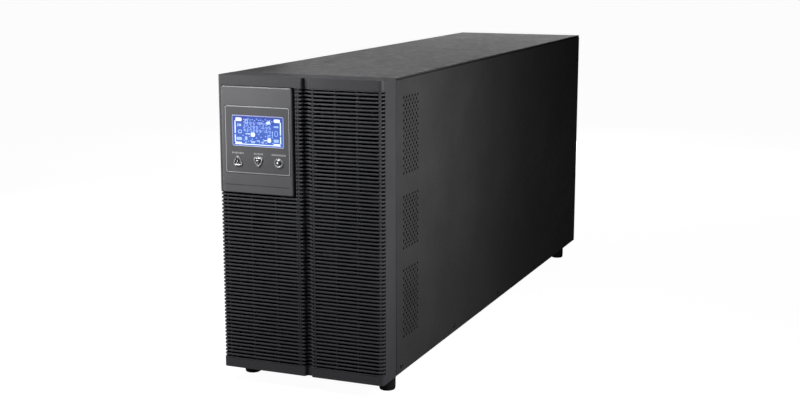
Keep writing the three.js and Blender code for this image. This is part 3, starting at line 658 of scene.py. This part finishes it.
# Paler marks, in the same order.
SCREEN_FAINT = [
    (0.875, 0.310, 0.095, 0.060, 0.2), (0.875, 0.800, 0.105, 0.110, 0.3),
    (0.140, 0.300, 0.055, 0.085, 0.3), (0.120, 0.780, 0.115, 0.110, 0.4),
    (0.095, 0.300, 0.020, 0.110, 0.1), (0.265, 0.760, 0.050, 0.150, 0.5),
    (0.560, 0.480, 0.040, 0.028, 0.1), (0.600, 0.880, 0.050, 0.060, 0.3),
    (0.515, 0.830, 0.060, 0.050, 0.3), (0.400, 0.880, 0.080, 0.080, 0.3),
    (0.520, 0.200, 0.050, 0.028, 0.1), (0.585, 0.200, 0.030, 0.060, 0.2),
    (0.725, 0.610, 0.050, 0.026, 0.1), (0.725, 0.665, 0.070, 0.026, 0.1),
    (0.250, 0.905, 0.030, 0.040, 0.2), (0.800, 0.560, 0.018, 0.180, 0.1),
]
# Rings: centre, width and height, and the ring's thickness in millimetres.
SCREEN_RINGS = [
    (0.270, 0.160, 0.066, 0.170, 1.0), (0.875, 0.545, 0.066, 0.200, 0.6), (0.138, 0.530, 0.085, 0.130, 0.9),
]
# Lit segments of each cell, taken in an order with no meaning.
SEGMENTS_LIT = ("abcdf", "acdfg", "bcdfg", "abdeg", "abcdefg", "acdeg", "abcfg", "abdeg", "bcf", "acdfg")


def screen_point(across, down):
    return LCD_X - INNER_W / 2 + across * INNER_W, LCD_Z + INNER_H / 2 - down * INNER_H


def mark(form, across, down, width, height, corner):
    u, v = screen_point(across, down)
    w, h = width * INNER_W, height * INNER_H
    loop = rounded_rect(u, v, w, h, corner * min(w, h) * 0.98, 3)
    form.plate(loop, [], MARK_LEVELS, facing_front)


def digit(form, across, down, lit):
    """One seven-segment cell with the lit segments drawn."""
    width, height = 0.038, 0.085
    half_w, half_h = width / 2, height / 2
    bars = {"a": (0, -half_h, 1), "g": (0, 0, 1), "d": (0, half_h, 1),
            "f": (-half_w, -half_h / 2, 0), "b": (half_w, -half_h / 2, 0),
            "e": (-half_w, half_h / 2, 0), "c": (half_w, half_h / 2, 0)}
    for name in lit:
        du, dv, level = bars[name]
        if level:
            mark(form, across + du, down + dv, width * 0.75, 0.022, 0.4)
        else:
            mark(form, across + du, down + dv, 0.011, height * 0.38, 0.4)


def build_screen():
    form = Form()
    outline = rounded_rect(LCD_X, LCD_Z, LCD_W - 0.6, LCD_H - 0.6, 1.4)
    form.plate(outline, [], [(0.25, SCREEN_FRONT), (0.07, SCREEN_FRONT + 0.08), (0, SCREEN_FRONT + 0.25),
                             (0, 1.3)], facing_front)
    make("screen_glass", form, SCREEN_BLUE, "lcd_glass", stands_for=("lcd_window",))

    form = Form()
    border = rounded_rect(LCD_X, LCD_Z, LCD_W - 0.5, LCD_H - 0.5, 1.8)
    inside = rounded_rect(LCD_X, LCD_Z, LCD_W - 2.1, LCD_H - 2.1, 1.3)[::-1]
    form.plate(border, [inside], [(0.1, SCREEN_FRONT - 0.08), (0, SCREEN_FRONT), (0, SCREEN_FRONT + 0.2)],
               facing_front)
    make("screen_border", form, SCREEN_EDGE, "lcd_screen")

    form = Form()
    for values in SCREEN_MARKS:
        mark(form, *values)
    make("screen_marks", form, FINISHES["lcd_screen"], "lcd_screen")

    form = Form()
    for values in SCREEN_FAINT:
        mark(form, *values)
    for across, down, width, height, thick in SCREEN_RINGS:
        u, v = screen_point(across, down)
        w, h = width * INNER_W, height * INNER_H
        radius = min(w, h) * 0.48
        outer = rounded_rect(u, v, w, h, radius, 6)
        inner = rounded_rect(u, v, w - 2 * thick, h - 2 * thick, radius - thick * 0.9, 6)[::-1]
        form.plate(outer, [inner], MARK_LEVELS, facing_front)
    for i in range(27):
        row, column = divmod(i, 9)
        down = (0.225, 0.355, 0.485)[row]
        digit(form, 0.232 + 0.064 * column, down, SEGMENTS_LIT[(i * 7) % 10])
    for i in range(14):  # rows of small marks above and below the digits
        mark(form, 0.22 + i * 0.044, (0.095, 0.13, 0.075, 0.11)[i % 4], 0.026, 0.030, 0.3)
        mark(form, 0.20 + i * 0.046, (0.66, 0.73, 0.60, 0.69, 0.78)[i % 5], 0.024, 0.034, 0.3)
        mark(form, 0.22 + i * 0.045, (0.83, 0.89, 0.86)[i % 3], 0.030, 0.026, 0.3)
    make("screen_segments", form, SCREEN_PALE, "lcd_screen")


def screen_blue():
    """Backlit blue in soft clouds, darker and more violet towards the top of the screen."""
    material = finish("screen_blue", (0.01, 0.02, 0.1), 0.38, specular=0.3, grain_size=2.0,
                      grain=0.05, bump=0.0, emission=(0.05, 0.13, 0.8), emission_strength=0.9)
    nodes = material.node_tree.nodes
    links = material.node_tree.links
    place = nodes.new("ShaderNodeTexCoord")
    split = nodes.new("ShaderNodeSeparateXYZ")
    links.new(place.outputs["Object"], split.inputs["Vector"])
    height = nodes.new("ShaderNodeMapRange")
    height.inputs["From Min"].default_value = at(0, 0, LCD_Z - LCD_H / 2).z
    height.inputs["From Max"].default_value = at(0, 0, LCD_Z + LCD_H / 2).z
    links.new(split.outputs["Z"], height.inputs["Value"])
    cloud = nodes.new("ShaderNodeTexNoise")
    cloud.inputs["Scale"].default_value = 160
    cloud.inputs["Detail"].default_value = 2
    links.new(place.outputs["Object"], cloud.inputs["Vector"])
    wander = nodes.new("ShaderNodeMath")
    wander.operation = "MULTIPLY_ADD"
    wander.inputs[1].default_value = 0.7
    links.new(cloud.outputs["Fac"], wander.inputs[0])
    drop = nodes.new("ShaderNodeMath")
    drop.operation = "SUBTRACT"
    drop.inputs[1].default_value = 0.35
    links.new(height.outputs["Result"], drop.inputs[0])
    links.new(drop.outputs["Value"], wander.inputs[2])
    ramp = nodes.new("ShaderNodeValToRGB")
    ramp.color_ramp.elements[0].position = 0.0
    ramp.color_ramp.elements[0].color = (0.060, 0.145, 0.56, 1)
    ramp.color_ramp.elements[1].position = 1.0
    ramp.color_ramp.elements[1].color = (0.045, 0.070, 0.36, 1)
    middle = ramp.color_ramp.elements.new(0.55)
    middle.color = (0.078, 0.155, 0.56, 1)
    links.new(wander.outputs["Value"], ramp.inputs["Fac"])
    links.new(ramp.outputs["Color"], nodes["Principled BSDF"].inputs["Emission Color"])
    return material


SCREEN_BLUE = screen_blue()
SCREEN_PALE = finish("screen_pale", (0.2, 0.3, 0.6), 0.3, grain_size=0.6, grain=0.05, bump=0.0,
                     emission=(0.29, 0.41, 0.74), emission_strength=0.82)
SCREEN_EDGE = finish("screen_edge", (0.24, 0.25, 0.34), 0.35, grain_size=0.6, grain=0.05, bump=0.0,
                     emission=(0.36, 0.38, 0.58), emission_strength=0.5)


# ---- Buttons ----
RIM_W = 0.8
FACE_EDGE = -1.7  # depth of the domed face near its edge
DOME = 1.25
DOME_STEPS = 7


def build_buttons():
    for index, name in enumerate(BUTTONS):
        form = Form()
        outer = button_outline(index, 0)
        inner = button_outline(index, -RIM_W)[::-1]
        levels = [(0.28, -3.0), (0.1, -2.92), (0.0, -2.7), (0.0, 1.6)]
        form.plate(outer, [inner], levels, facing_front, hole_scale=0.9)
        make(name + "_rim", form, FINISHES["button_metal"], "button_metal", body=name, stands_for=(name,))

        form = Form()
        middle = Vector((BUTTON_X[index], BUTTON_Z))
        loop = [Vector(p) for p in button_outline(index, 0.05 - RIM_W)]
        rings = []
        for step in range(DOME_STEPS + 1):
            share = step / DOME_STEPS
            depth = FACE_EDGE - DOME * math.sqrt(1 - share * share * 0.96)
            ring = [tuple(middle + (p - middle) * share) for p in loop]
            rings.append([(u, depth, v) for u, v in ring])
        rings.append([(p.x, 0.5, p.y) for p in loop])
        form.loft(rings, caps=False)
        form.faces.append(tuple(range((DOME_STEPS + 1) * len(loop), (DOME_STEPS + 2) * len(loop))))
        make(name + "_face", form, BUTTON_FACE, "button_metal", body=name, sharp=50)


# ---- Case panels ----
VENT_R = 1.75
# Bottom, top and rows of each group of vent holes.
VENT_GROUPS = ((217.6, 297.6, 21), (136.6, 192.0, 15), (39.0, 111.7, 19))
VENT_FRONT = 57
VENT_STEP = 8
SIDE_SETBACK, SIDE_DROP = 1.2, 0.7  # the seams that show in front of and above the side sheets
FOLD_START, FOLD_END, FOLD_REACH = 1.6, 2.7, 10  # the sheet's inward fold at its front edge
# How far the painted-shade sheets behind the vents reach past the holes.
SHADE_SHEET_MARGIN = 5


def vent_holes():
    holes = []
    for bottom, top, rows in VENT_GROUPS:
        for row in range(rows):
            z = bottom + (top - bottom) * row / (rows - 1)
            shift, count = ((0, 6), (VENT_STEP / 2, 5))[row % 2]
            for column in range(count):
                y = VENT_FRONT + shift + column * VENT_STEP
                holes.append(circle(y, z, VENT_R, 12)[::-1])
    return holes


def build_side(side, name, node):
    """A side sheet with its vents and front fold, and black sheets behind its vents and in its front and top
    seams, as painted shade.
    """
    def place(u, v, depth):
        return (side * (HALF_W - depth), u, v)

    form = Form()
    outline = rectangle(SIDE_FRONT + SIDE_SETBACK, BODY_L, 0, SIDE_TOP - SIDE_DROP)
    holes = vent_holes() + [circle(y, SCREW_Z, 1.9, 20)[::-1] for y in SCREW_Y]
    levels = [(1.0, 0), (0.5, 0.13), (0.13, 0.5), (0, 1.0), (0, SHEET)]
    form.plate(outline, holes, levels, place, hole_insets=(0.1, 0.03, 0, 0.5, 0.9))
    near, far = side * (HALF_W - 1.0), side * (HALF_W - FOLD_REACH)
    start, end = SIDE_FRONT + FOLD_START, SIDE_FRONT + FOLD_END
    fold = [(near, start), (far, start), (far, end), (near, end)]
    form.loft([[(x, y, z) for x, y in fold] for z in (1, SIDE_TOP - 1)])
    make(name, form, FINISHES["painted_steel"], "painted_steel", stands_for=(node,))

    # Black sheets behind the vent groups, and strips in the seams at the sheet's front and top edges: painted
    # shade.
    form = Form()
    inner, outer = sorted(side * (HALF_W - SHEET - depth) for depth in (0.6, 1.6))
    start, end = VENT_FRONT - SHADE_SHEET_MARGIN, VENT_FRONT + 5 * VENT_STEP + SHADE_SHEET_MARGIN
    for bottom, top, _ in VENT_GROUPS:
        form.box(inner, outer, start, end, bottom - 4, top + 4)
    inner, outer = sorted(side * (HALF_W - depth) for depth in (0.2, 1.5))
    form.box(inner, outer, SIDE_FRONT - 0.2, SIDE_FRONT + 1.4, 1, SIDE_TOP)
    form.box(inner, outer, SIDE_FRONT + 2, BODY_L - 3, SIDE_TOP - 0.9, SIDE_TOP + 0.2)
    make(name + "_shade_sheets", form, FINISHES["foot_rubber"], "foot_rubber")


SCREW_HEAD = 1.1


def cross_outline(reach, half):
    arm = [(reach, -half), (reach, half), (half, half)]
    points = []
    for turn in range(4):
        for a, b in arm:
            for _ in range(turn):
                a, b = -b, a
            points.append((a, b))
    return points


def screw_head(form, place, radius=3.0, height=SCREW_HEAD):
    """A low round head with a cross recess; place maps (u, v, depth) with depth 0 at its top."""
    levels = [(radius * 0.26, 0), (radius * 0.1, height * 0.17), (0, height * 0.5), (0, height)]
    cross = cross_outline(radius * 0.52, radius * 0.13)[::-1]
    form.plate(circle(0, 0, radius, 28), [cross], levels, place, hole_scale=0.0)
    floor = circle(0, 0, radius * 0.58, 16)
    form.loft([[place(a, b, depth) for a, b in floor] for depth in (height * 0.75, height * 0.95)])


def build_screws():
    for label, side in (("left", -1), ("right", 1)):
        for index, y in enumerate(SCREW_Y):
            def place(u, v, depth, y=y, side=side):
                return (side * (HALF_W + SCREW_HEAD - depth), y + u, SCREW_Z + v)

            form = Form()
            screw_head(form, place)
            node = f"{label}_screw_{index + 1}"
            make(node + "_head", form, FINISHES["screw_steel"], "screw_steel", stands_for=(node,))


# Radius and height of a foot, from the middle of its hollow underside to the middle of its top.
FOOT_PROFILE = [
    (0, -14.6), (4.0, -14.6), (4.6, -15.0), (5.2, -16.6), (5.8, -17), (7.6, -17), (8.2, -16.7),
    (8.6, -16.0), (8.85, -14.6), (9.0, -12), (9.0, -3.4), (8.75, -3.1), (8.75, -2.2), (9.0, -1.9),
    (9.0, -0.9), (8.7, -0.45), (8.2, -0.3), (0, -0.3),
]


def build_feet():
    for end, y in FOOT_PLACES.items():
        for label, x in (("left", -FOOT_X), ("right", FOOT_X)):
            form = Form()
            form.lathe(FOOT_PROFILE, 48, lambda u, v, h, x=x, y=y: (x + u, y + v, h))
            node = f"foot_{end}_{label}"
            make(node + "_shape", form, FINISHES["foot_rubber"], "foot_rubber", stands_for=(node,))


# ---- Rear ----
REAR_HALF, REAR_BOTTOM, REAR_TOP = 93.2, 1.8, 316.2
# Left, right, bottom and top of each opening: breaker, two ports, power-off, slot, battery, terminals.
REAR_CUTOUTS = ((-79.5, -44.5, 139.5, 184.5), (-80.5, -67.5, 199.7, 212.3), (-55, -29, 199.5, 212.5),
                (-14.5, -1.5, 200.5, 211.5), (18, 82, 186, 214), (21.7, 66.3, 139.7, 164.3),
                (-48, 48, 72, 92))
GUARD_RINGS = (14.5, 22, 29.5, 37)
GUARD_Y = 767.4
SPOKE_R = 0.85
FAN_SCREW = 35.75
CORNERS = ((1, 1), (-1, 1), (-1, -1), (1, -1))
BLADES = 7
BLADE_STATIONS, BLADE_POINTS = 7, 9


def build_rear_panel():
    form = Form()
    outline = rectangle(-REAR_HALF, REAR_HALF, REAR_BOTTOM, REAR_TOP)
    holes = [rectangle(-u1, -u0, v0, v1)[::-1] for u0, u1, v0, v1 in REAR_CUTOUTS]
    holes += [circle(x, FAN_Z, FAN_BORE, 72)[::-1] for x in (-FAN_X, FAN_X)]
    levels = [(0.35, -REAR_FACE), (0.1, -REAR_FACE + 0.1), (0, -REAR_FACE + 0.35), (0, SHEET - REAR_FACE)]
    form.plate(outline, holes, levels, facing_rear, hole_scale=0.6)
    make("rear_sheet", form, FINISHES["painted_steel"], "painted_steel", stands_for=("rear_panel",))


def build_fan(side, x):
    """Frame, rotor, wire guard and fixing screws; depth is measured from the frame's rear face."""
    def place(u, v, depth):
        return (x - u, FAN_Y + FAN_D - depth, FAN_Z + v)

    form = Form()
    bore = circle(0, 0, FAN_BORE, 72)[::-1]
    corners = [circle(u, v, 2.1, 20)[::-1] for u in (-FAN_SCREW, FAN_SCREW) for v in (-FAN_SCREW, FAN_SCREW)]
    levels = [(0.5, 0), (0.15, 0.15), (0, 0.5), (0, FAN_D)]
    form.plate(rounded_rect(0, 0, 79, 79, 4, 6), [bore] + corners, levels, place, hole_scale=0.5)
    hub = [(1.6, 25), (1.6, 22.2), (14.2, 22), (15, 22.6), (15, 25)]
    form.lathe(hub, 48, place)
    for degrees in (0, 120, 240):
        angle = math.radians(degrees)
        along = Vector((math.cos(angle), math.sin(angle)))
        across = Vector((-along.y, along.x))
        rings = []
        for depth in (22.2, 25):
            ring = [along * r + across * s for r, s in ((13, -2), (38.2, -2), (38.2, 2), (13, 2))]
            rings.append([place(p.x, p.y, depth) for p in ring])
        form.loft(rings)
    make(f"fan_{side}_frame", form, FINISHES["fan_plastic"], "fan_plastic", stands_for=(f"fan_frame_{side}",))

    form = Form()
    hub = [(0, 3.0), (12.6, 3.0), (14.2, 3.5), (15, 4.8), (15, 20.6), (14.2, 21), (0, 21)]
    form.lathe(hub, 56, place)
    form.lathe([(0, 2.7), (8.2, 2.7), (8.6, 3.1), (8.6, 3.4), (0, 3.4)], 40, place)
    form.lathe([(0, 21), (1.5, 21), (1.5, 24.4), (0, 24.4)], 16, place)
    for number in range(BLADES):
        fan_blade(form, 2 * math.pi * number / BLADES, place)
    make(f"fan_{side}_rotor", form, FINISHES["fan_plastic"], "fan_plastic", body=f"fan_rotor_{side}",
         stands_for=(f"fan_rotor_{side}",))

    form = Form()
    for radius in GUARD_RINGS:
        ring = [(x + a, GUARD_Y, FAN_Z + b) for a, b in circle(0, 0, radius, 96)]
        form.tube(ring, 0.95, 10, closed=True)
    start, end = 3.5, FAN_SCREW - 2.3
    steps = [start + (end - start) * i / 6 for i in range(7)]
    for su, sv in CORNERS:
        form.tube([(x + su * s, GUARD_Y - 0.1, FAN_Z + sv * s) for s in steps], SPOKE_R, 10)
        eye = [(x + su * FAN_SCREW + a, GUARD_Y - 0.1, FAN_Z + sv * FAN_SCREW + b)
               for a, b in circle(0, 0, 3.3, 32)]
        form.tube(eye, SPOKE_R, 10, closed=True)
    button = [(0, -1.2), (7.2, -1.2), (7.8, -0.9), (8, -0.4), (8, 0.3), (0, 0.3)]
    form.lathe(button, 48, lambda u, v, h: (x - u, GUARD_Y - h - 0.1, FAN_Z + v))
    make(f"fan_{side}_guard", form, FINISHES["guard_wire"], "guard_wire", stands_for=(f"fan_guard_{side}",))

    form = Form()
    for u in (-FAN_SCREW, FAN_SCREW):
        for v in (-FAN_SCREW, FAN_SCREW):
            screw_head(form, lambda a, b, d, u=u, v=v: (x + u - a, REAR_FACE + 3.1 - d, FAN_Z + v + b),
                       radius=2.9, height=3.0)
    make(f"fan_{side}_screws", form, FINISHES["screw_steel"], "screw_steel")


def fan_blade(form, start, place):
    """One swept blade, from the hub to just inside the duct."""
    outline = []
    for i in range(BLADE_STATIONS):
        share = i / (BLADE_STATIONS - 1)
        radius = 14.2 + share * 21.6
        chord = 15 + 7 * share
        pitch = math.radians(44 - 16 * share)
        sweep = start + math.radians(14) * share
        ring_front, ring_back = [], []
        for j in range(BLADE_POINTS):
            t = j / (BLADE_POINTS - 1) - 0.5
            arch = 1.6 * (1 - 4 * t * t)
            thick = 0.75 * math.sqrt(max(0.06, 1 - 4 * t * t * 0.97))
            for ring, extra in ((ring_front, thick), (ring_back, -thick)):
                tangent = t * chord * math.cos(pitch) - (arch + extra) * math.sin(pitch)
                axial = t * chord * math.sin(pitch) + (arch + extra) * math.cos(pitch)
                angle = sweep + tangent / radius
                ring.append(place(radius * math.cos(angle), radius * math.sin(angle), 12.2 + axial))
        outline.append(ring_front + ring_back[::-1])
    form.loft(outline)


# Radius and height round a gland: a closed ring, so that a cable can pass through it.
GLAND_PROFILE = [
    (6.8, -24), (7.6, -24), (8.5, -23.6), (9.6, -22), (10.9, -19.6), (11.4, -18.4), (11.5, -17.6),
    (11.5, -8.6), (11.2, -8), (9.0, -8), (9.0, 2.3), (11.2, 2.5), (11.5, 2.9), (11.5, 5.6),
    (11.1, 6), (6.8, 6),
]
GLAND_RIDGES = 14


def build_glands():
    for name, x in (("input", -GLAND_X), ("output", GLAND_X)):
        def place(u, v, h, x=x):
            return (x + u, GLAND_Y + v, GLAND_Z + h)

        form = Form()
        form.lathe(GLAND_PROFILE, 56, place)
        nut = [(0.6, -8), (0, -7.3), (0, -1.0), (0.6, -0.3)]
        hole = circle(0, 0, 8.8, 40)[::-1]
        form.plate(circle(0, 0, 12.5, 6), [hole], nut, place, hole_scale=0.0)
        for step in range(GLAND_RIDGES):
            angle = 2 * math.pi * step / GLAND_RIDGES
            along = Vector((math.cos(angle), math.sin(angle)))
            across = Vector((-along.y, along.x))
            section = ((11.2, -0.7), (11.5, -0.35), (11.5, 0.35), (11.2, 0.7))
            ridge = [along * r + across * s for r, s in section]
            form.loft([[place(p.x, p.y, h) for p in ridge] for h in (-17.2, -9.2)])
        node = f"cable_gland_{name}"
        make(node + "_shape", form, FINISHES["gland_nylon"], "gland_nylon", stands_for=(node,))


# ---- Lights, floor and surroundings ----
# Name, place, target, size and watts of each soft light, in metres.
LIGHTS = [
    ("key_light", (-0.22, -0.61, 0.54), (-0.07, -0.40, 0.28), (0.18, 0.18), 2.7),
    ("top_light", (-0.55, 1.70, 0.47), (0.0, 0.10, 0.337), (1.0, 0.24), 1.9),
    ("side_light", (0.42, -0.38, 0.32), (0.095, -0.34, 0.19), (0.25, 0.25), 1.6),
    ("rear_light", (-0.16, 1.55, 0.16), (0.0, 0.40, 0.16), (0.4, 0.28), 5.5),
    ("left_light", (-1.05, -0.05, 0.15), (-0.095, 0.0, 0.16), (0.6, 0.28), 3.5),
    ("glint_light", (-0.47, -0.95, 0.15), (-0.046, -0.40, 0.247), (0.05, 0.05), 0.3),
]
WORLD_SEEN, WORLD_CAST = 1.0, 0.04  # strength of the white surroundings, seen and as light
FLOOR_HALF, FLOOR_DROP = 30, 0.0002
FLOOR_GLOW = 0.965


def area_light(name, place, target, size, power):
    data = bpy.data.lights.new(name, "AREA")
    data.shape = "RECTANGLE"
    data.size, data.size_y = size
    data.energy = power
    light = bpy.data.objects.new(name, data)
    light.location = place
    light.rotation_mode = "QUATERNION"
    light.rotation_quaternion = (Vector(target) - Vector(place)).to_track_quat("-Z", "Y")
    light.visible_camera = False
    bpy.context.scene.collection.objects.link(light)


def add_world():
    """White surroundings: bright to the camera, and faint as light on the object."""
    world = bpy.data.worlds.new("studio")
    world.use_nodes = True
    nodes = world.node_tree.nodes
    links = world.node_tree.links
    seen = nodes["Background"]
    seen.inputs["Color"].default_value = (1, 1, 1, 1)
    seen.inputs["Strength"].default_value = WORLD_SEEN
    cast = nodes.new("ShaderNodeBackground")
    cast.inputs["Color"].default_value = (1, 1, 1, 1)
    cast.inputs["Strength"].default_value = WORLD_CAST
    ray = nodes.new("ShaderNodeLightPath")
    mix = nodes.new("ShaderNodeMixShader")
    links.new(ray.outputs["Is Camera Ray"], mix.inputs["Fac"])
    links.new(cast.outputs["Background"], mix.inputs[1])
    links.new(seen.outputs["Background"], mix.inputs[2])
    links.new(mix.outputs["Shader"], nodes["World Output"].inputs["Surface"])
    bpy.context.scene.world = world
    bpy.context.scene.view_settings.view_transform = "Standard"


def add_floor():
    """A wide pale floor, seen nearly white, with only a faint shadow."""
    mesh = bpy.data.meshes.new("floor")
    level = cad_low.z - FLOOR_DROP
    corners = [(x, y, level) for x, y in rectangle(-FLOOR_HALF, FLOOR_HALF, -FLOOR_HALF, FLOOR_HALF)]
    mesh.from_pydata(corners, [], [(0, 1, 2, 3)])
    floor = bpy.data.objects.new("floor", mesh)
    bpy.context.scene.collection.objects.link(floor)
    material = bpy.data.materials.new("pale_floor")
    material.use_nodes = True
    nodes = material.node_tree.nodes
    links = material.node_tree.links
    diffuse = nodes["Principled BSDF"]
    diffuse.inputs["Base Color"].default_value = (0.18, 0.18, 0.18, 1)
    diffuse.inputs["Roughness"].default_value = 0.9
    diffuse.inputs["Specular IOR Level"].default_value = 0.0
    glow = nodes.new("ShaderNodeEmission")
    glow.inputs["Strength"].default_value = FLOOR_GLOW
    total = nodes.new("ShaderNodeAddShader")
    ray = nodes.new("ShaderNodeLightPath")
    mix = nodes.new("ShaderNodeMixShader")
    links.new(diffuse.outputs["BSDF"], total.inputs[0])
    links.new(glow.outputs["Emission"], total.inputs[1])
    links.new(ray.outputs["Is Camera Ray"], mix.inputs["Fac"])
    links.new(diffuse.outputs["BSDF"], mix.inputs[1])
    links.new(total.outputs["Shader"], mix.inputs[2])
    links.new(mix.outputs["Shader"], nodes["Material Output"].inputs["Surface"])
    mesh.materials.append(material)


# ---- Assembly ----
def paint_nodes():
    """Every CAD node gets its slot's finish."""
    for name, node in frame["nodes"].items():
        if name in SLOT_OF:
            for place in node.material_slots:
                place.material = FINISHES[SLOT_OF[name]]


paint_nodes()
build_grilles()
build_panel()
build_screen()
build_buttons()
build_side(-1, "side_left", "left_side_panel")
build_side(1, "side_right", "right_side_panel")
build_screws()
build_feet()
build_rear_panel()
for fan_side, fan_x in (("left", -FAN_X), ("right", FAN_X)):
    build_fan(fan_side, fan_x)
build_glands()
refine("front_bezel", 0.5)
refine("top_cover", 0.4, material=SHEEN_PAINTED_TOP_STEEL)
refine("base_chassis", 0.3, material=PAINTED_SHADE_STEEL)
refine("terminal_cover", 0.5)
refine("input_breaker", 0.5)
refine("breaker_lever", 0.4, body="breaker_lever")
refine("terminal_block", 0.3)
refine("option_slot_cover", 0.3)
refine("usb_port", 0.2)
refine("serial_port", 0.15)
refine("epo_connector", 0.25)
refine("battery_connector", 0.5)
for light in LIGHTS:
    area_light(*light)
add_world()
add_floor()
